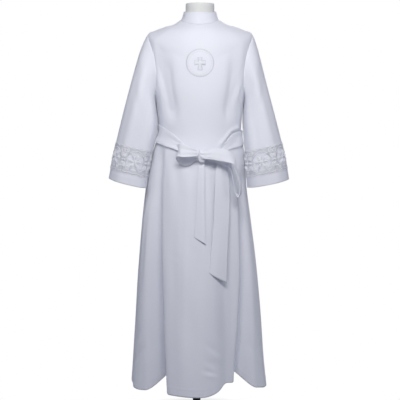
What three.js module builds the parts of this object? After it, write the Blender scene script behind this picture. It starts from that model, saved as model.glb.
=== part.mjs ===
// A child's baptismal robe, filled out on a limbless dress form with a pole and a round base.
// Millimetres, +Z up, the front towards -Y. The origin is on the floor, at the centre of the base.
import * as THREE from 'three';

// ---- driving dimensions ----
const CLOTH = 1.5;            // thickness of the robe's cloth
const SEAM = 0.3;             // gap between neighbouring pieces
const GARMENT_X = 10;         // the robe hangs this far beside the pole
const COLLAR_CLOTH = 2.0;     // interfaced stand collar
const COLLAR_RIM = {
  halfWide: 46.6, front: 51, back: 43, height: 1206, frontDip: 3, backRise: 7, hollow: 3,
};
const COLLAR_OPEN = 0.35;     // degrees from the centre back to each end of the band
const ARMHOLE_TOP = 4;        // row of the shoulder tip in the body table
const ARMHOLE_FOOT = 8;       // row of the underarm
const ARMHOLE_WIDTH = 35;     // half opening of the armhole, in degrees round the body
const ARMHOLE_TAPER = 0.25;   // how much narrower it is at the underarm
const HOLE_INSIDE = 0.994;    // the sleeve's first section, as a share of the armhole
const SLEEVE_BLEND = 0.25;    // share of the sleeve in which the armhole becomes an oval
const WAIST_Z = 850;
const HEM_ROW = 17;
const HEM_Z = 130;
const SECTION_SHAPE = 1.6;    // how a section's height goes from its sides to its front and back
const FOLD_FADE_TOP = 70;     // mm over which a fold begins
const FOLD_FADE_FOOT = 60;    // mm over which a fold that ends above the hem fades
const CUFF_LENGTH = 366.7;    // mm along the sleeve for one whole unit of its length parameter
const LACE_HALF = 38;         // half height of the lace band
const LACE_FOOT = 33;         // plain cloth between the lace and the cuff's edge
const LACE_REPEATS = 5;       // rosettes round one sleeve
const LACE_LIFT = 1.7;        // clears the flat faces of the round sleeve under it
const LACE_HALF_WIDE = 34.5;  // half width of one repeat
const LACE_FIRST_TURN = 256;  // where the front rosette's middle is, in degrees round the sleeve
const LACE_TRIM = 0.15;       // degrees that each end of a lace band steps back
const EMBLEM = { x: 0, z: 1060 };
const SASH_CLOTH = 1.5;
const SASH_LIFT = 1.3;
const KNOT = { x: 5, y: -132.2, z: 801, halfX: 11, halfY: 11, halfZ: 19, shape: 0.5 };
const POLE_RADIUS = 11.5;
const BASE = { radius: 150, rim: 5, dome: 12, socketRadius: 18, socketTop: 40 };
const FORM_FOOT_Z = 715;
const FORM_FOOT = { halfWide: 92, halfDeep: 72 };
const NECK = { y: -2, shape: 0.98 };
const BUTTON = { radius: 6.5, height: 3.8, angle: 87.4, levels: [1140, 1090, 1040, 990, 940] };

// ---- tables: a row for each section or fold, with named columns ----
const table = (columns, rows) =>
  Object.fromEntries(columns.map((name, k) => [name, rows.map((row) => row[k])]));

// Level sections of the robe's body, from the neckline (row 0) down to the hem.
const body = table(
  ['left', 'right', 'front', 'back', 'sideZ', 'frontZ', 'backZ', 'square'],
  [
    [54, 54, 60, 48, 1183, 1168, 1188, 2.0],
    [76, 78, 75, 61, 1169, 1151, 1176, 2.25],
    [99, 101, 85, 74, 1163, 1129, 1159, 2.35],
    [124, 126, 92, 85, 1154, 1106, 1137, 2.15],
    [149, 150, 97, 92, 1141, 1080, 1110, 1.9],
    [148, 149, 101, 97, 1100, 1048, 1070, 2.05],
    [142, 143, 105, 100, 1050, 1011, 1026, 2.2],
    [134, 134, 108, 100, 1000, 975, 984, 2.3],
    [127, 127, 109, 98, 958, 940, 945, 2.3],
    [122, 122, 109, 95, 915, 903, 906, 2.3],
    [119, 118, 111, 93, 865, 857, 860, 2.3],
    [137, 128, 120, 98, 800, 797, 799, 2.2],
    [151, 132, 129, 106, 740, 740, 739, 2.1],
    [158, 136, 136, 113, 690, 690, 688, 2.05],
    [173, 154, 151, 125, 555, 555, 550, 2.0],
    [186, 171, 168, 138, 381, 381, 373, 2.0],
    [197, 183, 183, 149, 209, 209, 197, 2.0],
    [203, 191, 189, 154, 130, 130, 116, 2.0],
  ],
);

// Soft folds: the angle round the body (270 is the front centre), its half width in degrees, how deep it
// is pressed in (below 0 stands out) at its top and at its foot, its two heights, and its lift of the hem.
const folds = table(
  ['angleTop', 'angleFoot', 'spread', 'deepTop', 'deepFoot', 'top', 'foot', 'raise'],
  [
    [229, 233, 9, 5, 6, 1090, 880, 0],
    [313, 309, 9, 5, 6, 1090, 880, 0],
    [214, 233, 7, 8, 74, 850, 130, 52],
    [206, 209, 10, -7, -9, 700, 130, -4],
    [240, 252, 12, 0, -7, 830, 130, 3],
    [264, 268, 20, 0, -12, 700, 130, 0],
    [286, 288, 11, 0, 0, 700, 130, 7],
    [300, 301, 13, 3, 28, 800, 130, 24],
    [333, 316, 7, 5, 54, 780, 130, 42],
    [350, 342, 10, 0, -10, 600, 130, -8],
    [20, 24, 9, 2, 38, 800, 130, 12],
    [50, 52, 12, 0, -12, 700, 130, 0],
    [80, 74, 9, 3, 44, 810, 130, 10],
    [108, 106, 12, 0, -10, 700, 130, 0],
    [132, 130, 9, 3, 40, 800, 130, 12],
    [164, 158, 9, 2, 30, 780, 130, 10],
  ],
);

// Sections of a sleeve: its outer and inner edge seen from the front, and its depth before and behind.
const SLEEVE_COLUMNS = ['at', 'outerX', 'outerZ', 'innerX', 'innerZ', 'front', 'back', 'middleY'];
const sleeves = {
  left: table(SLEEVE_COLUMNS, [
    [0, 150, 1141, 128, 958, 60, 60, 0],
    [0.1, 164, 1118, 128.5, 944, 60, 60, -1],
    [0.25, 177, 1075, 124.5, 920, 59, 58, -10],
    [0.45, 201, 990, 121.7, 880, 57, 55, -27],
    [0.7, 239, 839, 135.5, 812, 55, 52, -36],
    [0.85, 251, 785, 147.5, 757, 56, 52, -42],
    [1, 261, 733, 154, 705, 57, 52, -46],
  ]),
  right: table(SLEEVE_COLUMNS, [
    [0, 151, 1142, 128, 958, 60, 60, 0],
    [0.1, 161, 1119, 128.5, 944, 60, 60, -1],
    [0.25, 172, 1075, 125.5, 920, 59, 58, -5],
    [0.45, 194, 990, 124, 880, 57, 55, -15],
    [0.7, 233, 839, 129.5, 812, 57, 53, -31],
    [0.85, 245.5, 784, 132.5, 757, 58, 53, -39],
    [1, 255, 731, 136.5, 706, 60, 54, -44],
  ]),
};

// The sash round the waist, from the knot round the wearer's right side and the back to the knot again.
const sash = table(
  ['turn', 'centreZ', 'half'],
  [
    [-82, 806, 9],
    [-65, 831, 16],
    [-48, 846, 22],
    [-25, 857, 26],
    [0, 864, 27],
    [45, 862, 26],
    [90, 858, 26],
    [135, 853, 25],
    [180, 847, 19],
    [223, 841, 20],
    [243, 819, 8],
    [257, 806, 7],
  ],
);

// Ribbon paths: the middle of the ribbon, its half width, the lean of its width from upright to level,
// and how far its face turns to the side.
const RIBBON_COLUMNS = ['x', 'y', 'z', 'half', 'lean', 'turn'];
const bowLeft = table(RIBBON_COLUMNS, [
  [-8.7, -140, 806, 8, 0, 0],
  [-22, -148, 812, 12.5, -12, 0],
  [-42, -151, 818, 17.5, -14, 0],
  [-55, -147, 819, 20, -6, 0],
  [-60, -139, 813, 20, 0, 0],
  [-54, -130, 802, 20, 8, 0],
  [-38, -126.5, 792, 19, 8, 0],
  [-20, -127, 795, 13, 4, 0],
  [-6.7, -128, 797, 8, 0, 0],
]);
const bowRight = table(RIBBON_COLUMNS, [
  [16.6, -139, 805, 9, 0, 0],
  [34, -147, 808, 15, 0, 0],
  [58, -150, 807, 18, 4, 0],
  [82, -148, 803, 17, 14, 0],
  [98, -143, 791, 14, 42, 6],
  [108, -138, 765, 12, 78, 16],
  [115, -135, 732, 12, 86, 20],
  [118, -132, 704, 12, 88, 20],
  [112, -130, 688, 12, 90, 20],
  [103, -130, 701, 12, 90, 20],
  [97, -130, 735, 12, 84, 16],
  [89, -128, 768, 12, 66, 6],
  [74, -127, 785, 13, 29, 0],
  [45, -127, 792, 12, 6, 0],
  [16.6, -128, 797, 8, 0, 0],
]);

// Tails: the middle and half width of each level of the ribbon, and how far it hangs before the skirt.
const TAIL_COLUMNS = ['z', 'x', 'half', 'before', 'slant'];
const tailLong = table(TAIL_COLUMNS, [
  [796, 61.5, 12.5, 10.3, 0],
  [779, 62, 14, 10.3, 0],
  [745, 61.5, 18.5, 9.5, 0],
  [700, 62.5, 21, 8, 0],
  [640, 61, 22, 7, 0],
  [560, 56, 23, 7, 0],
  [461, 50, 24.5, 7, -15],
]);
const tailShort = table(TAIL_COLUMNS, [
  [781.5, 4, 8, 5, 0],
  [740, 3, 9.5, 5, 0],
  [660, 1.5, 12, 5, 0],
  [567, 0, 16, 5, -9],
]);

// ---- curves through the tables ----
const clamp = (value, low, high) => Math.min(Math.max(value, low), high);
const smooth = (value) => clamp(value, 0, 1) ** 2 * (3 - 2 * clamp(value, 0, 1));
const mix = (a, b, f) => a + (b - a) * f;

// A smooth curve through the points (knots, values): cubic pieces whose slope at a knot is that of the
// chord between its neighbours.
function curveAt(knots, values, at) {
  const last = knots.length - 1;
  let k = 0;
  while (k < last - 1 && at > knots[k + 1]) k += 1;
  const chord = (i, j) => (values[j] - values[i]) / (knots[j] - knots[i]);
  const step = knots[k + 1] - knots[k];
  const slopeIn = chord(Math.max(k - 1, 0), k + 1) * step;
  const slopeOut = chord(k, Math.min(k + 2, last)) * step;
  const f = clamp((at - knots[k]) / step, 0, 1);
  const square = f * f;
  const cube = square * f;
  return (2 * cube - 3 * square + 1) * values[k] + (cube - 2 * square + f) * slopeIn
    + (3 * square - 2 * cube) * values[k + 1] + (cube - square) * slopeOut;
}
const rowNumbers = body.left.map((_, k) => k);
const bodyAt = (column, row) => curveAt(rowNumbers, body[column], row);

// ---- the robe's body as a surface ----
const turnBetween = (a, b) => ((((a - b) % 360) + 540) % 360) - 180;

function foldAt(angle, z) {
  let deep = 0;
  let lift = 0;
  folds.spread.forEach((spread, k) => {
    const down = (folds.top[k] - z) / (folds.top[k] - folds.foot[k]);
    const centre = mix(folds.angleTop[k], folds.angleFoot[k], clamp(down, 0, 1));
    const bell = Math.exp(-((turnBetween(angle, centre) / spread) ** 2));
    const fadeFoot = folds.foot[k] > HEM_Z ? smooth((z - folds.foot[k]) / FOLD_FADE_FOOT) : 1;
    const fade = smooth((folds.top[k] - z) / FOLD_FADE_TOP) * fadeFoot;
    deep += bell * fade * mix(folds.deepTop[k], folds.deepFoot[k], clamp(down, 0, 1));
    lift += bell * folds.raise[k] * clamp((WAIST_Z - z) / (WAIST_Z - HEM_Z), 0, 1) ** 3;
  });
  return { deep, lift };
}

// A point of the body: superellipse sections, halves of their own on each side, pressed in by the folds.
function bodyPoint(angle, row, folded = true) {
  const c = Math.cos(THREE.MathUtils.degToRad(angle));
  const s = Math.sin(THREE.MathUtils.degToRad(angle));
  const power = 2 / bodyAt('square', row);
  const x = Math.sign(c) * Math.abs(c) ** power * bodyAt(c < 0 ? 'left' : 'right', row);
  const y = Math.sign(s) * Math.abs(s) ** power * bodyAt(s < 0 ? 'front' : 'back', row);
  const sideZ = bodyAt('sideZ', row);
  const z = mix(sideZ, bodyAt(s < 0 ? 'frontZ' : 'backZ', row), Math.abs(s) ** SECTION_SHAPE);
  if (!folded) return new THREE.Vector3(x, y, z);
  const { deep, lift } = foldAt(angle, z);
  const shrink = 1 - deep / Math.hypot(x, y);
  return new THREE.Vector3(x * shrink, y * shrink, z + lift);
}

// The outward normal of a surface given by a function of two parameters.
function normalOf(surface, u, v, stepU, stepV) {
  const alongU = surface(u + stepU, v).sub(surface(u - stepU, v));
  const alongV = surface(u, v + stepV).sub(surface(u, v - stepV));
  return alongV.cross(alongU).normalize();
}
const bodyNormal = (angle, row, folded = true) =>
  normalOf((a, r) => bodyPoint(a, r, folded), angle, clamp(row, 0.02, HEM_ROW - 0.02), 0.4, 0.01);

// Halving finds the row that has a height, and on the front the angle that has a width.
function halving(low, high, tooLow) {
  let a = low;
  let b = high;
  for (let k = 0; k < 22; k += 1) {
    const middle = (a + b) / 2;
    if (tooLow(middle)) a = middle;
    else b = middle;
  }
  return (a + b) / 2;
}
const rowAt = (angle, z) => halving(0, HEM_ROW, (row) => bodyPoint(angle, row, false).z > z);
const frontAngle = (x, z) =>
  halving(185, 355, (angle) => bodyPoint(angle, rowAt(angle, z), false).x < x);

// ---- closed solids from sheets ----
// A sheet's outer points, its inner points and its faces give one closed wall: each face, its copy inside,
// and a strip along every edge that only one face has.
function wallGeometry(outer, inner, faces) {
  const count = outer.length;
  const triangles = [];
  const edges = new Map();
  faces.forEach((face) => {
    for (let k = 1; k < face.length - 1; k += 1) {
      triangles.push([face[0], face[k], face[k + 1]]);
      triangles.push([face[0] + count, face[k + 1] + count, face[k] + count]);
    }
    face.forEach((from, k) => edges.set(`${from},${face[(k + 1) % face.length]}`, true));
  });
  edges.forEach((_, key) => {
    const [from, to] = key.split(',').map(Number);
    if (edges.has(`${to},${from}`)) return;
    triangles.push([to, from, from + count], [to, from + count, to + count]);
  });
  return closedGeometry([...outer, ...inner], triangles);
}

// Triangles as a geometry, turned round where they enclose a negative volume.
function closedGeometry(points, triangles) {
  let volume = 0;
  triangles.forEach(([a, b, c]) => {
    volume += points[a].dot(points[b].clone().cross(points[c]));
  });
  const facing = volume < 0 ? triangles.map(([a, b, c]) => [a, c, b]) : triangles;
  const corners = facing.flat().map((k) => points[k]);
  return new THREE.BufferGeometry().setFromPoints(corners);
}

// Faces of a grid of points, with its columns joined into a ring where it closes on itself.
function gridFaces(columns, rows, ring = false) {
  const faces = [];
  for (let j = 0; j < rows - 1; j += 1) {
    for (let i = 0; i < (ring ? columns : columns - 1); i += 1) {
      const next = (i + 1) % columns;
      faces.push([j * columns + i, j * columns + next, (j + 1) * columns + next, (j + 1) * columns + i]);
    }
  }
  return faces;
}
const gridPoints = (columns, rows, at) =>
  Array.from({ length: columns * rows }, (_, k) => at(k % columns, Math.floor(k / columns)));

// ---- materials ----
const finish = (color, roughness, metalness = 0) =>
  new THREE.MeshStandardMaterial({ color, roughness, metalness });
const materials = {
  robe_cloth: finish(0xe6e8f2, 0.8),
  lace: finish(0xeceef5, 0.85),
  embroidery: finish(0xe2e4ee, 0.6),
  form_cover: finish(0xd9d4cc, 0.75),
  stand_paint: finish(0x1b1b1d, 0.45, 0.2),
};
const robe = new THREE.Group();
robe.position.x = GARMENT_X;

function add(name, geometry, material, parent = robe) {
  const mesh = new THREE.Mesh(geometry, materials[material]);
  mesh.name = name;
  parent.add(mesh);
}

// ---- body panels ----
// The half opening of the armhole at a row: none at the shoulder tip and the underarm.
function armholeAt(row) {
  const down = (row - ARMHOLE_TOP) / (ARMHOLE_FOOT - ARMHOLE_TOP);
  if (down <= 0 || down >= 1) return 0;
  return ARMHOLE_WIDTH * Math.sqrt(Math.sin(Math.PI * down)) * (1 - ARMHOLE_TAPER * down);
}
const SLEEVE_SIDES = 20;
const ARMHOLE_MIDDLE = (ARMHOLE_TOP + ARMHOLE_FOOT) / 2;
const ARMHOLE_HALF = (ARMHOLE_FOOT - ARMHOLE_TOP) / 2;
const armholeRows = Array.from({ length: SLEEVE_SIDES / 2 + 1 }, (_, k) =>
  ARMHOLE_MIDDLE - ARMHOLE_HALF * Math.cos((2 * Math.PI * k) / SLEEVE_SIDES));
const skirtRows = [9, 9.6, 10, 10.4, 10.8, 11.3, 12, 13, 13.7, 14.35, 15, 15.6, 16.3, 17];
const panelRows = [0, 1, 2, 3, ...armholeRows, ...skirtRows];

// A panel between two side angles, whose edges step back from each armhole that they pass.
function panel(fromAngle, toAngle, columns, fromArmhole, toArmhole) {
  const point = (i, j, inward) => {
    const row = panelRows[j];
    const seamTurn = THREE.MathUtils.radToDeg(SEAM / 2 / Math.min(bodyAt('front', row), 150));
    const from = fromAngle + seamTurn + (fromArmhole ? armholeAt(row) : 0);
    const to = toAngle - seamTurn - (toArmhole ? armholeAt(row) : 0);
    const angle = mix(from, to, i / (columns - 1));
    return bodyPoint(angle, row).addScaledVector(bodyNormal(angle, row), -inward);
  };
  const outer = gridPoints(columns, panelRows.length, (i, j) => point(i, j, 0));
  const inner = gridPoints(columns, panelRows.length, (i, j) => point(i, j, CLOTH));
  return wallGeometry(outer, inner, gridFaces(columns, panelRows.length));
}
add('robe_front', panel(180, 360, 35, true, true), 'robe_cloth');
add('robe_back_right', panel(0, 90, 14, true, false), 'robe_cloth');
add('robe_back_left', panel(90, 180, 14, false, true), 'robe_cloth');

// ---- stand collar ----
// The band rises from the neckline to a level rim, and stays open at the centre back.
function collarPoint(angle, height) {
  const foot = bodyPoint(angle, 0);
  foot.z += SEAM;
  const c = Math.cos(THREE.MathUtils.degToRad(angle));
  const s = Math.sin(THREE.MathUtils.degToRad(angle));
  const { halfWide, front, back, height: top, frontDip, backRise, hollow } = COLLAR_RIM;
  const rim = new THREE.Vector3(halfWide * c, (s < 0 ? front : back) * s,
    top + (s < 0 ? frontDip : backRise) * s);
  const bow = hollow * height * (1 - height);
  return foot.lerp(rim, height).add(new THREE.Vector3(-bow * c, -bow * s, 0));
}
function collar() {
  const columns = 31;
  const rows = 4;
  const point = (i, j, inward) => {
    const angle = mix(90 + COLLAR_OPEN, 450 - COLLAR_OPEN, i / (columns - 1));
    const height = j / (rows - 1);
    const out = new THREE.Vector3(Math.cos(THREE.MathUtils.degToRad(angle)),
      Math.sin(THREE.MathUtils.degToRad(angle)), 0);
    return collarPoint(angle, height).addScaledVector(out, -inward);
  };
  return wallGeometry(gridPoints(columns, rows, (i, j) => point(i, j, 0)),
    gridPoints(columns, rows, (i, j) => point(i, j, COLLAR_CLOTH)), gridFaces(columns, rows));
}
add('collar', collar(), 'robe_cloth');

// ---- sleeves ----
// Turn 0 faces away from the body, 90 the back, 180 the body and 270 the front. The first section is
// the armhole itself, just inside the panels' edges, and it opens into plain ovals within a quarter.
function sleevePoint(side, turn, at) {
  const sections = sleeves[side];
  const value = (column) => curveAt(sections.at, sections[column], at);
  const sign = side === 'left' ? -1 : 1;
  const c = Math.cos(THREE.MathUtils.degToRad(turn));
  const s = Math.sin(THREE.MathUtils.degToRad(turn));
  const depth = s < 0 ? value('front') : value('back');
  const oval = new THREE.Vector3(
    sign * mix(value('innerX'), value('outerX'), (1 + c) / 2),
    value('middleY') + depth * s,
    mix(value('innerZ'), value('outerZ'), (1 + c) / 2),
  );
  if (at >= SLEEVE_BLEND) return oval;
  const row = ARMHOLE_MIDDLE - ARMHOLE_HALF * HOLE_INSIDE * c;
  const edge = armholeAt(ARMHOLE_MIDDLE - ARMHOLE_HALF * c);
  const open = edge * Math.sign(s) * HOLE_INSIDE;
  const hole = bodyPoint(side === 'left' ? 180 - open : open, row);
  return hole.lerp(oval, smooth(at / SLEEVE_BLEND));
}
function sleeveNormal(side, turn, at) {
  const normal = normalOf((t, a) => sleevePoint(side, t, a), turn, clamp(at, 0.01, 0.99), 2, 0.005);
  return side === 'left' ? normal.negate() : normal;
}
const sleeveStops = [0, 0.06, 0.14, 0.24, 0.38, 0.54, 0.7, 0.8, 0.9, 1];
function sleeve(side) {
  const point = (i, j, inward) => {
    const turn = (360 * i) / SLEEVE_SIDES;
    const normal = sleeveNormal(side, turn, sleeveStops[j]);
    return sleevePoint(side, turn, sleeveStops[j]).addScaledVector(normal, -inward);
  };
  return wallGeometry(gridPoints(SLEEVE_SIDES, sleeveStops.length, (i, j) => point(i, j, 0)),
    gridPoints(SLEEVE_SIDES, sleeveStops.length, (i, j) => point(i, j, CLOTH)),
    gridFaces(SLEEVE_SIDES, sleeveStops.length, true));
}
add('sleeve_left', sleeve('left'), 'robe_cloth');
add('sleeve_right', sleeve('right'), 'robe_cloth');

// ---- lace bands ----
// One repeat is a rosette of six petals in an open frame: rings of points round its centre, with a gap
// cut through between each pair of petals, and an outer ring on the repeat's edges.
const ROSETTE_SPOKES = 18;
const rosette = table(
  ['tip', 'valley', 'rise'],
  [
    [6, 5, 1.3],
    [20, 12.5, 2.1],
    [27, 27, 1.5],
  ],
);
const LACE_CENTRE_RISE = 2.4;
const LACE_EDGE_RISE = 1.0;
const SCALLOP = 4;

function laceOutline(angle, halfWide) {
  const c = Math.cos(angle);
  const s = Math.sin(angle);
  const reach = Math.min(halfWide / Math.abs(c), LACE_HALF / Math.abs(s));
  const corner = Math.abs(Math.abs(c) - Math.cos(THREE.MathUtils.degToRad(50))) < 0.001;
  const x = corner ? Math.sign(c) * halfWide : c * reach;
  const y = corner ? Math.sign(s) * LACE_HALF : s * reach;
  const onFoot = y < -LACE_HALF + 0.01;
  return [x, onFoot ? y - SCALLOP * (1 - (x / halfWide) ** 2) : y];
}
function laceRepeat(halfWide) {
  const points = [[0, 0, LACE_CENTRE_RISE]];
  for (let ring = 0; ring < rosette.tip.length; ring += 1) {
    for (let k = 0; k < ROSETTE_SPOKES; k += 1) {
      const angle = THREE.MathUtils.degToRad(10 + (360 * k) / ROSETTE_SPOKES);
      const radius = k % 3 === 1 ? rosette.valley[ring] : rosette.tip[ring];
      points.push([radius * Math.cos(angle), radius * Math.sin(angle), rosette.rise[ring]]);
    }
  }
  for (let k = 0; k < ROSETTE_SPOKES; k += 1) {
    const angle = THREE.MathUtils.degToRad(10 + (360 * k) / ROSETTE_SPOKES);
    points.push([...laceOutline(angle, halfWide), LACE_EDGE_RISE]);
  }
  const faces = [];
  for (let k = 0; k < ROSETTE_SPOKES; k += 1) {
    const next = (k + 1) % ROSETTE_SPOKES;
    faces.push([0, 1 + k, 1 + next]);
    for (let ring = 0; ring < rosette.tip.length; ring += 1) {
      const gap = ring === 1 && k % 3 !== 2;
      const here = 1 + ring * ROSETTE_SPOKES;
      const beyond = here + ROSETTE_SPOKES;
      if (!gap) faces.push([here + k, beyond + k, beyond + next, here + next]);
    }
  }
  return { points, faces };
}
// Repeats first to last, side by side round the sleeve; their shared edges are merged into one sheet.
function lace(side, first, last) {
  const halfTurn = 180 / LACE_REPEATS;
  const outer = [];
  const inner = [];
  const faces = [];
  const seen = new Map();
  for (let n = first; n <= last; n += 1) {
    const repeat = laceRepeat(LACE_HALF_WIDE);
    const places = repeat.points.map(([x, y, rise]) => {
      const turn = LACE_FIRST_TURN + n * 2 * halfTurn + (x / LACE_HALF_WIDE) * halfTurn;
      const atStart = turn <= LACE_FIRST_TURN + (2 * first - 1) * halfTurn + 0.01;
      const atEnd = turn >= LACE_FIRST_TURN + (2 * last + 1) * halfTurn - 0.01;
      const trim = LACE_TRIM * (Number(atStart) - Number(atEnd));
      const at = 1 - (LACE_FOOT + LACE_HALF + y) / CUFF_LENGTH;
      const key = `${turn.toFixed(2)},${at.toFixed(5)}`;
      if (seen.has(key)) return seen.get(key);
      const normal = sleeveNormal(side, turn, at);
      const point = sleevePoint(side, turn + trim, at);
      inner.push(point.clone().addScaledVector(normal, LACE_LIFT));
      outer.push(point.clone().addScaledVector(normal, LACE_LIFT + rise));
      seen.set(key, outer.length - 1);
      return outer.length - 1;
    });
    faces.push(...repeat.faces.map((face) => face.map((k) => places[k])));
  }
  return wallGeometry(outer, inner, faces);
}
['left', 'right'].forEach((side) => {
  add(`lace_${side}_front`, lace(side, -1, 1), 'lace');
  add(`lace_${side}_back`, lace(side, 2, 3), 'lace');
});

// ---- emblem on the chest ----
// A point that lies on the front at a place seen from before it, moved out by a height.
function onFront(x, z, height) {
  const angle = frontAngle(x, z);
  const row = rowAt(angle, z);
  return bodyPoint(angle, row).addScaledVector(bodyNormal(angle, row), height);
}
const PATCH_RISE = 1.2;
const EMBLEM_SPOKES = 20;
const patch = table(
  ['radius', 'rise'],
  [
    [13, PATCH_RISE],
    [26, PATCH_RISE],
    [35, PATCH_RISE],
    [36.4, 2.4],
    [38.4, 2.2],
  ],
);
function emblemPatch() {
  const places = [[0, 0, PATCH_RISE]];
  patch.radius.forEach((radius, ring) => {
    for (let k = 0; k < EMBLEM_SPOKES; k += 1) {
      const angle = (2 * Math.PI * k) / EMBLEM_SPOKES;
      places.push([radius * Math.cos(angle), radius * Math.sin(angle), patch.rise[ring]]);
    }
  });
  const faces = [];
  for (let k = 0; k < EMBLEM_SPOKES; k += 1) {
    const next = (k + 1) % EMBLEM_SPOKES;
    faces.push([0, 1 + k, 1 + next]);
    for (let ring = 0; ring < patch.radius.length - 1; ring += 1) {
      const here = 1 + ring * EMBLEM_SPOKES;
      const beyond = here + EMBLEM_SPOKES;
      faces.push([here + k, beyond + k, beyond + next, here + next]);
    }
  }
  const at = (height) => places.map(([x, z, rise]) =>
    onFront(EMBLEM.x + x, EMBLEM.z + z, SEAM + height * rise));
  return wallGeometry(at(1), at(0), faces);
}
add('emblem_patch', emblemPatch(), 'embroidery');

// A plain cross with flared arms, from squares round a middle one.
const CROSS = { core: 4, arm: 15, foot: 20, flare: 6.5, rise: 1.4 };
function emblemCross() {
  const { core, arm, foot, flare } = CROSS;
  const places = [
    [-core, -core], [core, -core], [core, core], [-core, core],
    [-flare, arm], [flare, arm], [arm, flare], [arm, -flare],
    [flare, -foot], [-flare, -foot], [-arm, -flare], [-arm, flare],
  ];
  const faces = [[0, 1, 2, 3], [3, 2, 5, 4], [2, 1, 7, 6], [1, 0, 9, 8], [0, 3, 11, 10]];
  const under = 2 * SEAM + PATCH_RISE;
  const at = (height) => places.map(([x, z]) => onFront(EMBLEM.x + x, EMBLEM.z + z, height));
  return wallGeometry(at(under + CROSS.rise), at(under), faces);
}
add('emblem_cross', emblemCross(), 'embroidery');

// ---- sash, bow and tails ----
function sashBand() {
  const columns = 45;
  const rows = 4;
  const last = sash.turn.length - 1;
  const point = (i, j, height) => {
    const turn = mix(sash.turn[0], sash.turn[last], i / (columns - 1));
    const angle = 180 - turn;
    const half = curveAt(sash.turn, sash.half, turn);
    const z = curveAt(sash.turn, sash.centreZ, turn) + mix(-half, half, j / (rows - 1));
    const row = rowAt(angle, z);
    return bodyPoint(angle, row).addScaledVector(bodyNormal(angle, row, false), height);
  };
  return wallGeometry(gridPoints(columns, rows, (i, j) => point(i, j, SASH_LIFT + SASH_CLOTH)),
    gridPoints(columns, rows, (i, j) => point(i, j, SASH_LIFT)), gridFaces(columns, rows));
}
add('sash_band', sashBand(), 'robe_cloth');

// The knot is a rounded block: a sphere whose sections are drawn out towards flat faces.
function knot() {
  const columns = 14;
  const rows = 9;
  const square = (value) => Math.sign(value) * Math.abs(value) ** KNOT.shape;
  const places = [];
  for (let j = 1; j < rows - 1; j += 1) {
    const rise = -Math.PI / 2 + (Math.PI * j) / (rows - 1);
    for (let i = 0; i < columns; i += 1) {
      const turn = (2 * Math.PI * i) / columns;
      places.push(new THREE.Vector3(
        KNOT.x + KNOT.halfX * square(Math.cos(rise)) * square(Math.cos(turn)),
        KNOT.y + KNOT.halfY * square(Math.cos(rise)) * square(Math.sin(turn)),
        KNOT.z + KNOT.halfZ * square(Math.sin(rise)),
      ));
    }
  }
  const rings = rows - 2;
  const triangles = [];
  gridFaces(columns, rings, true).forEach(([a, b, c, d]) => triangles.push([a, b, c], [a, c, d]));
  const foot = places.push(new THREE.Vector3(KNOT.x, KNOT.y, KNOT.z - KNOT.halfZ)) - 1;
  const head = places.push(new THREE.Vector3(KNOT.x, KNOT.y, KNOT.z + KNOT.halfZ)) - 1;
  for (let i = 0; i < columns; i += 1) {
    const next = (i + 1) % columns;
    const top = (rings - 1) * columns;
    triangles.push([foot, next, i], [head, top + i, top + next]);
  }
  return closedGeometry(places, triangles);
}
add('sash_knot', knot(), 'robe_cloth');

// A ribbon along a path: each section is a short line across it, leaning as the table says.
function ribbon(path, steps, across = 3) {
  const knots = path.x.map((_, k) => k);
  const value = (column, at) => curveAt(knots, path[column], at);
  const middle = (at) => new THREE.Vector3(value('x', at), value('y', at), value('z', at));
  const point = (i, j, height) => {
    const at = ((knots.length - 1) * j) / (steps - 1);
    const near = Math.min(at + 0.02, knots.length - 1);
    const along = middle(near).sub(middle(near - 0.04)).normalize();
    const lean = THREE.MathUtils.degToRad(value('lean', at));
    const turn = THREE.MathUtils.degToRad(value('turn', at));
    const wide = new THREE.Vector3(Math.sin(turn), Math.sin(lean) * Math.cos(turn),
      Math.cos(lean) * Math.cos(turn));
    wide.addScaledVector(along, -wide.dot(along)).normalize();
    const off = wide.clone().cross(along);
    return middle(at).addScaledVector(wide, value('half', at) * mix(-1, 1, i / (across - 1)))
      .addScaledVector(off, height);
  };
  return wallGeometry(gridPoints(across, steps, (i, j) => point(i, j, SASH_CLOTH / 2)),
    gridPoints(across, steps, (i, j) => point(i, j, -SASH_CLOTH / 2)), gridFaces(across, steps));
}
add('bow_left', ribbon(bowLeft, 21), 'robe_cloth');
add('bow_right', ribbon(bowRight, 27), 'robe_cloth');

// A tail hangs before the smooth skirt, level by level, and its end is cut on a slant.
function tail(levels, rows, across = 5) {
  const knots = levels.z.map((_, k) => k);
  const value = (column, at) => curveAt(knots, levels[column], at);
  const point = (i, j, height) => {
    const at = ((knots.length - 1) * j) / (rows - 1);
    const side = mix(-1, 1, i / (across - 1));
    const x = value('x', at) + value('half', at) * side;
    const z = value('z', at) + value('slant', at) * side;
    const angle = frontAngle(x, z);
    const place = bodyPoint(angle, rowAt(angle, z), false);
    place.y -= value('before', at) + height;
    return place;
  };
  return wallGeometry(gridPoints(across, rows, (i, j) => point(i, j, SASH_CLOTH)),
    gridPoints(across, rows, (i, j) => point(i, j, 0)), gridFaces(across, rows));
}
add('tail_long', tail(tailLong, 11), 'robe_cloth');
add('tail_short', tail(tailShort, 10), 'robe_cloth');

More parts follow.
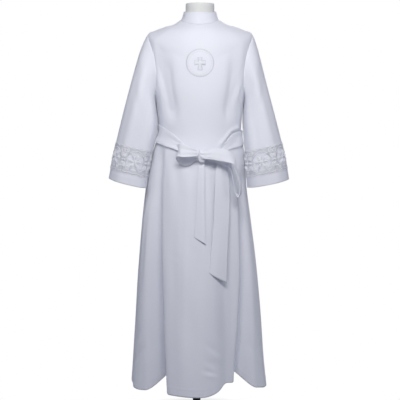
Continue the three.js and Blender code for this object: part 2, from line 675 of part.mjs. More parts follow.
// ---- covered buttons at the centre back ----
BUTTON.levels.forEach((z, k) => {
  const profile = [[0, 0], [BUTTON.radius, 0], [BUTTON.radius, 1], [5, 3], [0, BUTTON.height]];
  const shape = new THREE.LatheGeometry(profile.map(([r, h]) => new THREE.Vector2(r, h)), 10);
  const row = rowAt(BUTTON.angle, z);
  const normal = bodyNormal(BUTTON.angle, row);
  const place = bodyPoint(BUTTON.angle, row).addScaledVector(normal, SEAM);
  const turn = new THREE.Quaternion().setFromUnitVectors(new THREE.Vector3(0, 1, 0), normal);
  shape.applyQuaternion(turn).translate(place.x, place.y, place.z);
  add(`button_${k + 1}`, shape, 'robe_cloth');
});

// ---- dress form and stand ----
// The torso follows the smooth body inside the cloth, and touches it nearly at the shoulders alone.
const form = table(
  ['row', 'inset'],
  [
    [0, 2.3],
    [1, 2.3],
    [2, 2.3],
    [3, 2.3],
    [4, 2.4],
    [5, 8],
    [6, 10],
    [7, 11],
    [8, 11],
    [9, 11],
    [10, 12],
    [11, 20],
    [12, 34],
  ],
);
const neck = table(
  ['radius', 'height'],
  [
    [46, 1186],
    [42.5, 1195],
    [41, 1210],
    [41, 1227],
    [39, 1230],
  ],
);
function dressForm() {
  const columns = 34;
  const rings = [];
  neck.radius.forEach((radius, k) => rings.unshift((angle) => new THREE.Vector3(
    radius * Math.cos(angle), radius * NECK.shape * Math.sin(angle) + NECK.y, neck.height[k])));
  form.row.forEach((row, k) => rings.push((angle) => {
    const degrees = THREE.MathUtils.radToDeg(angle);
    return bodyPoint(degrees, row, false)
      .addScaledVector(bodyNormal(degrees, row, false), -form.inset[k]);
  }));
  rings.push((angle) => new THREE.Vector3(
    FORM_FOOT.halfWide * Math.cos(angle), FORM_FOOT.halfDeep * Math.sin(angle), FORM_FOOT_Z));
  const places = gridPoints(columns, rings.length, (i, j) => rings[j]((2 * Math.PI * i) / columns));
  const triangles = [];
  gridFaces(columns, rings.length, true).forEach(([a, b, c, d]) => triangles.push([a, b, c], [a, c, d]));
  const head = places.push(new THREE.Vector3(0, NECK.y, neck.height[neck.height.length - 1])) - 1;
  const foot = places.push(new THREE.Vector3(0, 0, FORM_FOOT_Z)) - 1;
  for (let i = 0; i < columns; i += 1) {
    const next = (i + 1) % columns;
    const last = (rings.length - 1) * columns;
    triangles.push([head, next, i], [foot, last + i, last + next]);
  }
  return closedGeometry(places, triangles);
}
add('form_torso', dressForm(), 'form_cover');

const whole = new THREE.Group();
whole.add(robe);
const lathe = (profile, sides) => {
  const shape = new THREE.LatheGeometry(profile.map(([r, h]) => new THREE.Vector2(r, h)), sides);
  return shape.rotateX(Math.PI / 2);
};
add('stand_base', lathe([
  [0, 0], [BASE.radius, 0], [BASE.radius, BASE.rim], [BASE.radius * 0.5, BASE.dome - 2],
  [BASE.socketRadius, BASE.dome], [BASE.socketRadius, BASE.socketTop], [0, BASE.socketTop],
], 28), 'stand_paint', whole);
add('stand_pole', lathe([
  [0, BASE.socketTop + SEAM], [POLE_RADIUS, BASE.socketTop + SEAM],
  [POLE_RADIUS, FORM_FOOT_Z - SEAM], [0, FORM_FOOT_Z - SEAM],
], 20), 'stand_paint', whole);

export default whole;
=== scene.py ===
# %% [markdown]
# # A child's baptismal robe on a dress form
#
# The object is a white robe with a stand collar, bell sleeves with a lace band, a round chest emblem and a
# sash tied in a bow. It hangs on a limbless dress form, so it keeps the hollow form of a worn robe.
# The solids of the frame already have each piece at its size and place. This lesson lays a fine thin shell
# on each of them, with the folds, stitches and finishes that the eye expects from cloth.
# Tables and functions are in millimetres, and become metres in the one function that makes meshes.

# %% Load the frame
import math

import bpy
import numpy as np
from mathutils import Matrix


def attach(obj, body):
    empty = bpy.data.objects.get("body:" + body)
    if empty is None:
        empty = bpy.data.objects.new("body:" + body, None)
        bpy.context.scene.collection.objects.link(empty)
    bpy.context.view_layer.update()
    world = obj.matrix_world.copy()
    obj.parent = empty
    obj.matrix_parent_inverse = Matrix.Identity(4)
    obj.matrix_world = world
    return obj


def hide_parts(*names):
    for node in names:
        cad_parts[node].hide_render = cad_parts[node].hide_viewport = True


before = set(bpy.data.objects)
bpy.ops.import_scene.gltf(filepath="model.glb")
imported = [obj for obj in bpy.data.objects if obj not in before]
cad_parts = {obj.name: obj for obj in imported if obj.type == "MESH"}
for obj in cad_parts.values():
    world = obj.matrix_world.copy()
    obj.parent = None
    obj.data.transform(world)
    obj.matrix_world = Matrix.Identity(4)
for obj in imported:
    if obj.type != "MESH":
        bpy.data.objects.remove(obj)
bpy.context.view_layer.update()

# %% [markdown]
# ## The camera
#
# A long lens three metres before the robe, at waist height of a grown-up and tipped down a little, keeps
# the perspective calm. The view is square, so the lens follows from how many pixels one radian of view
# takes.

# %% Camera
GARMENT_X = 10.0
VIEW_SIDE = 400
PIXELS_PER_RADIAN = 1032.0
HORIZON_ROW = 80.0
CAMERA_Y = -3000.0
CAMERA_Z = 1012.7

camera_data = bpy.data.cameras.new("camera")
camera_data.sensor_width = 36.0
camera_data.lens = PIXELS_PER_RADIAN * camera_data.sensor_width / VIEW_SIDE
camera = bpy.data.objects.new("camera", camera_data)
camera.location = (GARMENT_X / 1000, CAMERA_Y / 1000, CAMERA_Z / 1000)
tip_down = math.atan((VIEW_SIDE / 2 - HORIZON_ROW) / PIXELS_PER_RADIAN)
camera.rotation_euler = (math.pi / 2 - tip_down, 0, 0)
bpy.context.scene.collection.objects.link(camera)
bpy.context.scene.camera = camera
print("lens", round(camera_data.lens, 1), "mm, tipped down", round(math.degrees(tip_down), 2), "degrees")

# %% [markdown]
# ## Curves through tables
#
# A dressmaker drafts with a few measured levels and a smooth curve through them. So each form here is a
# short table with named columns, and a cubic curve runs through its rows. The slope at a row is that of
# the chord between its neighbours.

# %% Tables and smooth curves
def table(columns, rows):
    """A table as a dictionary: one array for each named column."""
    return dict(zip(columns, np.array(rows, float).T))


def curve_at(knots, values, at):
    """Cubic Hermite curve through (knots, values), at any array of places."""
    knots = np.asarray(knots, float)
    values = np.asarray(values, float)
    last = len(knots) - 1
    k = np.clip(np.searchsorted(knots, at, side="left") - 1, 0, last - 1)
    step = knots[k + 1] - knots[k]
    low = np.maximum(k - 1, 0)
    high = np.minimum(k + 2, last)
    slope_in = (values[k + 1] - values[low]) / (knots[k + 1] - knots[low]) * step
    slope_out = (values[high] - values[k]) / (knots[high] - knots[k]) * step
    f = np.clip((at - knots[k]) / step, 0, 1)
    keep = 2 * f**3 - 3 * f**2 + 1
    return (
        keep * values[k]
        + (f**3 - 2 * f**2 + f) * slope_in
        + (1 - keep) * values[k + 1]
        + (f**3 - f**2) * slope_out
    )


def smooth(value):
    """Smooth step: 0 below 0, 1 above 1, and 3v^2 - 2v^3 between."""
    v = np.clip(value, 0, 1)
    return v * v * (3 - 2 * v)


def mix(a, b, f):
    """A straight blend from a to b."""
    return a + (b - a) * f


def unit(vectors):
    """Vectors of length one."""
    return vectors / np.maximum(np.linalg.norm(vectors, axis=-1, keepdims=True), 1e-9)


# %% [markdown]
# ## From arrays to meshes
#
# Every piece ends as arrays of points and faces. One function puts them into a mesh with foreach_set,
# scales millimetres to metres, and adds a UV map in metres, so that a weave follows the cloth and not
# the room. A Solidify modifier then gives a sheet the thickness of real cloth.

# %% Mesh helpers
MM = 0.001
pieces = {}


def build(name, points, faces, material, uv=None, thickness=0.0, nodes=(), place=(GARMENT_X, 0, 0)):
    """Makes one object from points (n, 3) and face arrays (m, corners). Its UV is x and z, unless given."""
    mesh = bpy.data.meshes.new(name)
    corners = np.concatenate([f.ravel() for f in faces]).astype(np.int32)
    sizes = np.concatenate([np.full(len(f), f.shape[1]) for f in faces])
    starts = (np.cumsum(sizes) - sizes).astype(np.int32)
    mesh.vertices.add(len(points))
    mesh.loops.add(len(corners))
    mesh.polygons.add(len(sizes))
    mesh.vertices.foreach_set("co", ((points + np.array(place)) * MM).astype(np.float32).ravel())
    mesh.loops.foreach_set("vertex_index", corners)
    mesh.polygons.foreach_set("loop_start", starts)
    mesh.polygons.foreach_set("use_smooth", np.ones(len(sizes), bool))
    mesh.update(calc_edges=True)
    uv = points[:, [0, 2]] if uv is None else uv
    layer = mesh.uv_layers.new(name="cloth_uv")
    layer.data.foreach_set("uv", (uv[corners] * MM).astype(np.float32).ravel())
    mesh.validate()
    mesh.materials.append(materials[material])
    piece = bpy.data.objects.new(name, mesh)
    bpy.context.scene.collection.objects.link(piece)
    if thickness:
        shell = piece.modifiers.new("cloth thickness", "SOLIDIFY")
        shell.thickness = thickness * MM
        shell.offset = -1.0
    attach(piece, "root")
    if nodes:
        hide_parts(*nodes)
    pieces[name] = piece
    return piece


def grid_faces(rows, columns, ring=False):
    """Quads of a grid, points along the columns first. A ring joins the last column to the first."""
    j, i = np.meshgrid(np.arange(rows - 1), np.arange(columns if ring else columns - 1), indexing="ij")
    start, i = j.ravel() * columns, i.ravel()
    after = (i + 1) % columns
    return np.stack([start + i, start + after, start + columns + after, start + columns + i], 1)


def grid_uv(grid):
    """UV in millimetres: the length along the middle row and down the middle column."""
    across = np.linalg.norm(np.diff(grid[grid.shape[0] // 2], axis=0), axis=1)
    down = np.linalg.norm(np.diff(grid[:, grid.shape[1] // 2], axis=0), axis=1)
    u = np.concatenate([[0], np.cumsum(across)])
    v = np.concatenate([[0], np.cumsum(down)])
    return np.stack(np.meshgrid(u, v), -1).reshape(-1, 2)


def join(parts):
    """Several (points, faces) as one, with the face numbers moved on."""
    points, faces, count = [], {}, 0
    for part_points, part_faces in parts:
        points.append(part_points)
        for f in part_faces:
            faces.setdefault(f.shape[1], []).append(f + count)
        count += len(part_points)
    return np.concatenate(points), [np.concatenate(f) for f in faces.values()]


def tubes(paths, ups, radius, sides=6, closed=False):
    """Round cords along paths (k, n, 3): each point of a path gets a ring, radius from the cord's middle."""
    k, n = paths.shape[:2]
    if closed:
        along = unit(np.roll(paths, -1, 1) - np.roll(paths, 1, 1))
    else:
        along = unit(np.gradient(paths, axis=1))
    side = unit(np.cross(along, ups))
    up = np.cross(side, along)
    turn = np.arange(sides) / sides * 2 * np.pi
    reach = np.broadcast_to(np.asarray(radius, float), (k, n))[..., None, None]
    rings = paths[:, :, None] + reach * (
        np.cos(turn)[:, None] * side[:, :, None] + np.sin(turn)[:, None] * up[:, :, None]
    )
    quads = grid_faces(n + 1, sides, True) % (n * sides) if closed else grid_faces(n, sides, True)
    quads = (quads[None] + (np.arange(k) * n * sides)[:, None, None]).reshape(-1, 4)
    faces = [quads[:, ::-1]]
    if not closed:
        caps = (np.arange(k) * n * sides)[:, None] + np.arange(sides)
        faces += [caps, caps[:, ::-1] + (n - 1) * sides]
    return rings.reshape(-1, 3), faces


print("helpers ready")

# %% [markdown]
# ## Finishes
#
# The robe is a matt polyester gabardine: white with a cool cast, a fine twill and a faint sheen at grazing
# angles. Two effects serve several finishes, so they are node groups. "cloth weave" crosses two wave
# textures in the piece's own UV, so that threads follow the cloth. "soft mottle" is a slow noise that keeps
# a large white area from looking like plastic. The shaders themselves stay in each material.

# %% Node groups
def new_group(name, inputs, outputs):
    """An empty shader group with named sockets."""
    group = bpy.data.node_groups.new(name, "ShaderNodeTree")
    for label, kind, value in inputs:
        socket = group.interface.new_socket(label, in_out="INPUT", socket_type=kind)
        if value is not None:
            socket.default_value = value
    for label, kind in outputs:
        group.interface.new_socket(label, in_out="OUTPUT", socket_type=kind)
    return group, group.nodes.new("NodeGroupInput"), group.nodes.new("NodeGroupOutput")


def math_node(nodes, links, operation, first, second):
    """A Math node whose inputs are sockets or numbers."""
    node = nodes.new("ShaderNodeMath")
    node.operation = operation
    for socket, value in zip(node.inputs, (first, second)):
        if isinstance(value, (int, float)):
            socket.default_value = value
        else:
            links.new(value, socket)
    return node.outputs[0]


def weave_group():
    """Warp and weft as two sine waves across each other, with slubs from a stretched noise."""
    group, start, end = new_group(
        "cloth weave",
        [("Vector", "NodeSocketVector", None), ("Threads", "NodeSocketFloat", 1400.0),
         ("Slub", "NodeSocketFloat", 0.4)],
        [("Height", "NodeSocketFloat"), ("Tone", "NodeSocketFloat")],
    )
    nodes, links = group.nodes, group.links
    waves = []
    for direction in ("X", "Y"):
        wave = nodes.new("ShaderNodeTexWave")
        wave.bands_direction = direction
        wave.inputs["Distortion"].default_value = 1.2
        wave.inputs["Detail"].default_value = 1.0
        links.new(start.outputs["Vector"], wave.inputs["Vector"])
        links.new(start.outputs["Threads"], wave.inputs["Scale"])
        waves.append(wave.outputs["Fac"])
    slub = nodes.new("ShaderNodeTexNoise")
    slub.inputs["Scale"].default_value = 260.0
    slub.inputs["Detail"].default_value = 3.0
    links.new(start.outputs["Vector"], slub.inputs["Vector"])
    crossed = math_node(nodes, links, "ADD", waves[0], waves[1])
    slubs = math_node(nodes, links, "MULTIPLY", slub.outputs["Fac"], start.outputs["Slub"])
    links.new(math_node(nodes, links, "ADD", crossed, slubs), end.inputs["Height"])
    links.new(slub.outputs["Fac"], end.inputs["Tone"])
    return group


def mottle_group():
    """A slow noise between two tones: 1 minus amount, and 1."""
    group, start, end = new_group(
        "soft mottle",
        [("Vector", "NodeSocketVector", None), ("Scale", "NodeSocketFloat", 9.0),
         ("Amount", "NodeSocketFloat", 0.04)],
        [("Factor", "NodeSocketFloat")],
    )
    nodes, links = group.nodes, group.links
    noise = nodes.new("ShaderNodeTexNoise")
    noise.inputs["Detail"].default_value = 4.0
    links.new(start.outputs["Vector"], noise.inputs["Vector"])
    links.new(start.outputs["Scale"], noise.inputs["Scale"])
    lost = math_node(nodes, links, "MULTIPLY", noise.outputs["Fac"], start.outputs["Amount"])
    links.new(math_node(nodes, links, "SUBTRACT", 1.0, lost), end.inputs["Factor"])
    return group


weave = weave_group()
mottle = mottle_group()
print("node groups:", weave.name, "and", mottle.name)

# %% Materials
materials = {}


def finish(name, color, roughness, threads, bump, mottle_amount, sheen=0.0, slub=0.4, coat=0.0):
    """A Principled surface whose colour, roughness and bump come from the two groups."""
    material = bpy.data.materials.new(name)
    material.use_nodes = True
    nodes, links = material.node_tree.nodes, material.node_tree.links
    shader = nodes["Principled BSDF"]
    shader.inputs["Sheen Weight"].default_value = sheen
    shader.inputs["Sheen Roughness"].default_value = 0.45
    shader.inputs["Coat Weight"].default_value = coat
    shader.inputs["Specular IOR Level"].default_value = 0.3
    place = nodes.new("ShaderNodeTexCoord")
    woven = nodes.new("ShaderNodeGroup")
    woven.node_tree = weave
    woven.inputs["Threads"].default_value = threads
    woven.inputs["Slub"].default_value = slub
    links.new(place.outputs["UV"], woven.inputs["Vector"])
    spots = nodes.new("ShaderNodeGroup")
    spots.node_tree = mottle
    spots.inputs["Amount"].default_value = mottle_amount
    links.new(place.outputs["Object"], spots.inputs["Vector"])
    tint = nodes.new("ShaderNodeMix")
    tint.data_type = "RGBA"
    tint.inputs[6].default_value = (*[c * 0.9 for c in color], 1)
    tint.inputs[7].default_value = (*color, 1)
    links.new(spots.outputs["Factor"], tint.inputs[0])
    links.new(tint.outputs[2], shader.inputs["Base Color"])
    rough = math_node(nodes, links, "MULTIPLY", woven.outputs["Tone"], 0.12)
    links.new(math_node(nodes, links, "ADD", rough, roughness - 0.06), shader.inputs["Roughness"])
    raised = nodes.new("ShaderNodeBump")
    raised.inputs["Strength"].default_value = 0.5
    raised.inputs["Distance"].default_value = bump * MM
    links.new(woven.outputs["Height"], raised.inputs["Height"])
    links.new(raised.outputs["Normal"], shader.inputs["Normal"])
    materials[name] = material


finish("robe_cloth", (0.87, 0.882, 0.945), 0.72, 1300.0, 0.03, 0.35, sheen=0.15)
finish("sash_cloth", (0.88, 0.893, 0.95), 0.66, 1300.0, 0.03, 0.30, sheen=0.2)
# The lace ground's grey, darker than its cords, is painted shade for the shadow in the holes and gaps between
# the cords.
finish("lace_ground_painted_shade", (0.72, 0.73, 0.78), 0.85, 900.0, 0.12, 0.5, slub=0.9)
finish("lace_cord", (0.90, 0.905, 0.95), 0.7, 1100.0, 0.10, 0.4, sheen=0.2)
finish("satin_stitch", (0.84, 0.85, 0.91), 0.5, 1500.0, 0.03, 0.3, sheen=0.3)
finish("emblem_cloth", (0.88, 0.89, 0.955), 0.7, 1300.0, 0.03, 0.3, sheen=0.1)
finish("rim_cord", (0.66, 0.67, 0.71), 0.5, 1100.0, 0.10, 0.4)
finish("sewing_thread", (0.86, 0.87, 0.93), 0.6, 1600.0, 0.02, 0.3)
finish("form_cover", (0.81, 0.81, 0.79), 0.8, 700.0, 0.06, 0.6, slub=0.8)
finish("stand_paint", (0.02, 0.02, 0.022), 0.42, 500.0, 0.01, 0.5, coat=0.2)
print("materials:", ", ".join(materials))

# %% [markdown]
# ## The robe's body as one surface
#
# A robe that is filled out has rounded level sections: wide, not deep. So a section here is a superellipse
# with its own half width on each side and its own depth before and behind. The second parameter runs down
# the rows of a table, from the neckline over the shoulders, the waist and out to the flared hem. Folds
# are bells round the body that press the cloth in or let it stand out, and grow from their top to their
# foot. Where a deep fold reaches the hem, it lifts the hem too, as hanging cloth does. The tables of the
# form's inset and of the sash's edges stand here as well, because the panels need them.

# %% The body's tables
body = table(
    ["left", "right", "front", "back", "side_z", "front_z", "back_z", "square"],
    [
        [54, 54, 60, 48, 1183, 1168, 1188, 2.0],
        [76, 78, 75, 61, 1169, 1151, 1176, 2.25],
        [99, 101, 85, 74, 1163, 1129, 1159, 2.35],
        [124, 126, 92, 85, 1154, 1106, 1137, 2.15],
        [149, 150, 97, 92, 1141, 1080, 1110, 1.9],
        [148, 149, 101, 97, 1100, 1048, 1070, 2.05],
        [142, 143, 105, 100, 1050, 1011, 1026, 2.2],
        [134, 134, 108, 100, 1000, 975, 984, 2.3],
        [127, 127, 109, 98, 958, 940, 945, 2.3],
        [122, 122, 109, 95, 915, 903, 906, 2.3],
        [119, 118, 111, 93, 865, 857, 860, 2.3],
        [137, 128, 120, 98, 800, 797, 799, 2.2],
        [151, 132, 129, 106, 740, 740, 739, 2.1],
        [158, 136, 136, 113, 690, 690, 688, 2.05],
        [173, 154, 151, 125, 555, 555, 550, 2.0],
        [186, 171, 168, 138, 381, 381, 373, 2.0],
        [197, 183, 183, 149, 209, 209, 197, 2.0],
        [203, 191, 189, 154, 130, 130, 116, 2.0],
    ],
)
HEM_ROW = len(body["left"]) - 1
HEM_Z = 130.0
WAIST_Z = 850.0

folds = table(
    ["angle_top", "angle_foot", "spread", "deep_top", "deep_foot", "top", "foot", "raise"],
    [
        [229, 233, 9, 5, 6, 1090, 880, 0],
        [313, 309, 9, 5, 6, 1090, 880, 0],
        [214, 233, 7, 8, 74, 850, 130, 52],
        [206, 209, 10, -7, -9, 700, 130, -4],
        [240, 252, 12, 0, -7, 830, 130, 3],
        [264, 268, 20, 0, -12, 700, 130, 0],
        [286, 288, 11, 0, 0, 700, 130, 7],
        [300, 301, 13, 3, 28, 800, 130, 24],
        [333, 316, 7, 5, 54, 780, 130, 42],
        [350, 342, 10, 0, -10, 600, 130, -8],
        [20, 24, 9, 2, 38, 800, 130, 12],
        [50, 52, 12, 0, -12, 700, 130, 0],
        [80, 74, 9, 3, 44, 810, 130, 10],
        [108, 106, 12, 0, -10, 700, 130, 0],
        [132, 130, 9, 3, 40, 800, 130, 12],
        [164, 158, 9, 2, 30, 780, 130, 10],
    ],
)
form = table(["row", "inset"], [
    [0, 2.3], [1, 2.3], [2, 2.3], [3, 2.3], [4, 2.4], [5, 8], [6, 10], [7, 11], [8, 11], [9, 11], [10, 12],
    [11, 20], [12, 34],
])
sash = table(
    ["turn", "centre_z", "half"],
    [
        [-82, 806, 9],
        [-65, 831, 16],
        [-48, 846, 22],
        [-25, 857, 26],
        [0, 864, 27],
        [45, 862, 26],
        [90, 858, 26],
        [135, 853, 25],
        [180, 847, 19],
        [223, 841, 20],
        [243, 819, 8],
        [257, 806, 7],
    ],
)
print("rows", HEM_ROW + 1, "folds", len(folds["top"]))

# %% [markdown]
# Small creases make the difference between a shell and cloth. Each has a place (angle and height), a
# length, a width, a lean from upright and a depth; below 0 it is a ridge. A crease is a narrow bell across
# and a long bell along. A pair of ridge and trough reads as one wrinkle. They are placed where
# this cloth pulls: under the arms, over the sash, below it, and low in the skirt where it was packed.

# %% Small creases
creases = table(
    ["angle", "z", "length", "width", "lean", "deep"],
    [
        [229, 975, 240, 24, 2, 5.5],
        [213, 1015, 220, 12, 3, -2.4],
        [249, 1040, 190, 18, 1, -0.9],
        [306, 1000, 230, 15, -2, 2.4],
        [320, 1015, 200, 12, -4, -1.8],
        [291, 1040, 190, 18, -1, -0.9],
        [222, 1010, 70, 9, 14, 2.0],
        [217, 985, 60, 7, 10, -1.6],
        [240, 930, 80, 12, -6, 1.6],
        [251, 980, 120, 16, 3, 1.2],
        [318, 1000, 75, 9, -16, 2.0],
        [323, 975, 60, 7, -12, -1.6],
        [302, 925, 80, 12, 6, 1.5],
        [290, 960, 110, 16, -3, 1.0],
        [262, 905, 60, 14, 20, 0.8],
        [246, 1085, 60, 12, 38, 1.3],
        [296, 1085, 60, 12, -38, 1.3],
        [236, 1105, 40, 8, 55, -0.8],
        [305, 1105, 40, 8, -55, -0.8],
        [226, 760, 60, 8, -5, 2.2],
        [237, 750, 70, 10, 4, -1.6],
        [247, 735, 80, 11, 2, 2.0],
        [258, 725, 70, 12, -3, -1.4],
        [281, 735, 70, 10, 3, 1.8],
        [290, 750, 60, 9, -4, -1.4],
        [321, 740, 70, 9, 6, 2.0],
        [342, 760, 60, 9, 4, 1.6],
        [246, 520, 26, 5, 68, 1.1],
        [247, 513, 24, 5, 66, -0.9],
        [272, 500, 34, 5, 82, 1.0],
        [273, 492, 30, 5, 80, -0.8],
        [281, 262, 46, 7, 52, 2.4],
        [283, 248, 42, 7, 50, -2.2],
        [279, 226, 40, 8, 60, 1.8],
        [278, 200, 34, 6, 70, 2.2],
        [279, 190, 30, 6, 70, -1.8],
        [288, 300, 40, 8, 35, 1.4],
        [205, 275, 60, 8, -42, 2.4],
        [208, 258, 55, 8, -42, -2.0],
        [214, 240, 50, 8, -48, 2.0],
        [203, 205, 44, 8, -55, 1.8],
        [206, 195, 40, 7, -55, -1.6],
        [262, 330, 150, 22, 4, 1.6],
        [257, 450, 300, 9, 0, -2.0],
        [247, 430, 300, 13, 2, 2.0],
        [266, 440, 260, 12, -1, 1.7],
        [208, 590, 170, 5, 0, 2.0],
        [203, 560, 170, 7, 0, -1.4],
        [271, 420, 220, 26, 2, -1.6],
        [282, 240, 260, 22, 0, 3.2],
        [341, 330, 180, 16, 3, 1.6],
        [331, 240, 50, 8, 40, 1.8],
        [218, 560, 160, 14, 2, -2.2],
        [205, 470, 180, 14, -2, 1.8],
        [60, 990, 90, 14, -10, 1.8],
        [120, 990, 90, 14, 10, 1.8],
        [45, 930, 70, 9, -14, 1.6],
        [135, 930, 70, 9, 14, 1.6],
        [66, 740, 80, 10, 5, 2.0],
        [95, 730, 80, 11, -2, -1.6],
        [118, 745, 70, 10, -6, 1.8],
        [146, 760, 60, 9, 4, 1.8],
        [36, 750, 60, 9, 4, 1.8],
        [92, 420, 200, 22, 3, 1.6],
        [60, 330, 60, 9, 48, 2.0],
        [118, 280, 50, 8, -50, 2.0],
        [120, 268, 46, 8, -50, -1.6],
        [70, 540, 30, 6, 75, 1.0],
        [12, 420, 160, 16, 2, 1.6],
        [172, 400, 180, 16, -2, 1.6],
    ],
)


def crease_height(angle, z, radius):
    """Sum of bells: deep * exp(-(across/width)^2 - (1.6 along/length)^2), with places in mm on the cloth."""
    height = np.zeros(np.broadcast(angle, z).shape)
    for a, level, length, width, lean, deep in zip(*creases.values()):
        sideways = turn_between(angle, a) * np.pi / 180 * radius
        upwards = z - level
        tilt = np.radians(lean)
        across = sideways * np.cos(tilt) + upwards * np.sin(tilt)
        along = upwards * np.cos(tilt) - sideways * np.sin(tilt)
        height -= deep * np.exp(-((across / width) ** 2) - (along / length * 1.6) ** 2)
    return height


def turn_between(a, b):
    """The signed angle from b to a, between -180 and 180 degrees."""
    return (a - b + 180) % 360 - 180


print("creases:", len(creases["z"]))

# %% The body's surface
def fold_at(angle, z):
    """Depth pressed in and lift of the hem: flat-topped bells exp(-d^2.7) that grow from each fold's top."""
    deep = np.zeros(np.broadcast(angle, z).shape)
    lift = np.zeros_like(deep)
    for k in range(len(folds["top"])):
        f = {name: column[k] for name, column in folds.items()}
        down = np.clip((f["top"] - z) / (f["top"] - f["foot"]), 0, 1)
        aside = np.abs(turn_between(angle, mix(f["angle_top"], f["angle_foot"], down))) / f["spread"]
        bell = np.exp(-(aside**2.7))
        fade = smooth((f["top"] - z) / 70)
        if f["foot"] > HEM_Z:
            fade = fade * smooth((z - f["foot"]) / 60)
        deep += bell * fade * mix(f["deep_top"], f["deep_foot"], down)
        lift += bell * f["raise"] * np.clip((WAIST_Z - z) / (WAIST_Z - HEM_Z), 0, 1) ** 3
    return deep, lift


def body_point(angle, row, folded=True):
    """Superellipse section: x = halfwidth * cos^p, y = depth * sin^p, then pressed towards the axis."""
    angle, row = np.broadcast_arrays(np.asarray(angle, float), np.asarray(row, float))
    rows = np.arange(HEM_ROW + 1)
    c, s = np.cos(np.radians(angle)), np.sin(np.radians(angle))
    value = {name: curve_at(rows, column, row) for name, column in body.items()}
    power = 2 / value["square"]
    x = np.sign(c) * np.abs(c) ** power * np.where(c < 0, value["left"], value["right"])
    y = np.sign(s) * np.abs(s) ** power * np.where(s < 0, value["front"], value["back"])
    z = mix(value["side_z"], np.where(s < 0, value["front_z"], value["back_z"]), np.abs(s) ** 1.6)
    if folded:
        deep, lift = fold_at(angle, z)
        shrink = 1 - deep / np.hypot(x, y)
        x, y, z = x * shrink, y * shrink, z + lift
    return np.stack([x, y, z], -1)


def body_normal(angle, row, folded=True):
    """Outward normal: the cross product of the two tangents, by small differences."""
    row = np.clip(row, 0.02, HEM_ROW - 0.02)
    round_body = body_point(angle + 0.4, row, folded) - body_point(angle - 0.4, row, folded)
    down_body = body_point(angle, row + 0.01, folded) - body_point(angle, row - 0.01, folded)
    return unit(np.cross(down_body, round_body))


def row_at(angle, z):
    """The row where the smooth body has a height, by halving."""
    low = np.zeros(np.broadcast(angle, z).shape)
    high = np.full_like(low, HEM_ROW)
    for _ in range(22):
        middle = (low + high) / 2
        above = body_point(angle, middle, False)[..., 2] > z
        low, high = np.where(above, middle, low), np.where(above, high, middle)
    return (low + high) / 2


def front_angle(x, z):
    """The angle on the front where the smooth body has a width and a height, by halving."""
    low = np.full(np.broadcast(x, z).shape, 185.0)
    high = np.full_like(low, 355.0)
    for _ in range(20):
        middle = (low + high) / 2
        left_of = body_point(middle, row_at(middle, z), False)[..., 0] < x
        low, high = np.where(left_of, middle, low), np.where(left_of, high, middle)
    return (low + high) / 2


def on_front(x, z, height):
    """Points on the folded front at a place seen from before it, moved out by a height."""
    angle = front_angle(x, z)
    row = row_at(angle, z)
    return body_point(angle, row) + body_normal(angle, row) * np.asarray(height)[..., None]


print("waist half width", round(float(body_point(0, 10)[0]), 1), "mm")

# %% [markdown]
# ## Front and back panels
#
# A dressmaker cuts a front in one piece and a back in two, and sews them at the shoulders, the sides and
# the centre back. Each panel is a grid between two side angles, and its edges step back from each armhole.
# The armhole is an oval: at a row, its half opening is a root of a sine, wider above than below. Near
# every seam the cloth dips by half a millimetre, because a pressed seam pulls its two edges in. Where a
# crease would reach the dress form inside, the cloth rests on the form and bends softly over it.

# %% Panels
ARMHOLE_TOP, ARMHOLE_FOOT, ARMHOLE_WIDTH = 4.0, 8.0, 35.0
ARMHOLE_MIDDLE, ARMHOLE_REACH = 6.0, 2.0
SEAM_GAP = 0.3
CLOTH = 1.1
FORM_GAP = 0.4
FORM_END_ROW = 11.5
SOFTNESS = 0.5
HEM_TURN = 25.0
HEM_ROW_MM = 79.0


def armhole_at(row):
    """Half opening of the armhole in degrees: width * sqrt(sin(pi d)) * (1 - d/4), d going down the hole."""
    down = np.clip((row - ARMHOLE_TOP) / (ARMHOLE_FOOT - ARMHOLE_TOP), 0, 1)
    return ARMHOLE_WIDTH * np.sqrt(np.maximum(np.sin(np.pi * down), 0)) * (1 - 0.25 * down)


def panel_rows(yoke, hole, rest):
    """Row numbers: even on the yoke, crowded at the ends of the armhole, and even below it."""
    turn = np.linspace(0, np.pi, hole)
    return np.concatenate([
        np.linspace(0, ARMHOLE_TOP, yoke)[:-1],
        ARMHOLE_MIDDLE - ARMHOLE_REACH * np.cos(turn),
        np.linspace(ARMHOLE_FOOT, HEM_ROW, rest)[1:],
    ])


PANEL_ROWS = panel_rows(34, 54, 170)


def cloth_relief(angle, row, point):
    """Creases and slow waves of the loose cloth. A soft floor log(1 + e^h) keeps them off the form."""
    radius = np.hypot(point[..., 0], point[..., 1])
    z = point[..., 2]
    calm = smooth((np.abs(z - WAIST_Z) - 35) / 60)
    turn = (180 - angle + 82) % 360 - 82
    above = z - curve_at(sash["turn"], sash["centre_z"] + sash["half"], turn)
    where = smooth((turn - 195) / 14) * smooth((252 - turn) / 10)
    pushed = where * (3.2 * np.exp(-(((above - 11) / 6.5) ** 2)) - 1.6 * np.exp(-((above / 4.0) ** 2)))
    hem = 0.4 * np.exp(-(((row - HEM_ROW) * HEM_ROW_MM + HEM_TURN) / 1.8) ** 2)
    loose = smooth((1060 - z) / 300)
    waves = 0.5 * np.sin(angle / 7.3 + z / 61) * np.sin(z / 83 - angle / 19)
    waves = waves + 0.3 * np.sin(angle / 3.1 + z / 37)
    room = curve_at(form["row"], form["inset"], row) - CLOTH - FORM_GAP - fold_at(angle, z)[0]
    room = room + 90 * np.clip(row - FORM_END_ROW, 0, 1)
    over_form = (crease_height(angle, z, radius) + loose * waves) * calm + room
    return SOFTNESS * np.logaddexp(0, over_form / SOFTNESS) - room + hem + pushed


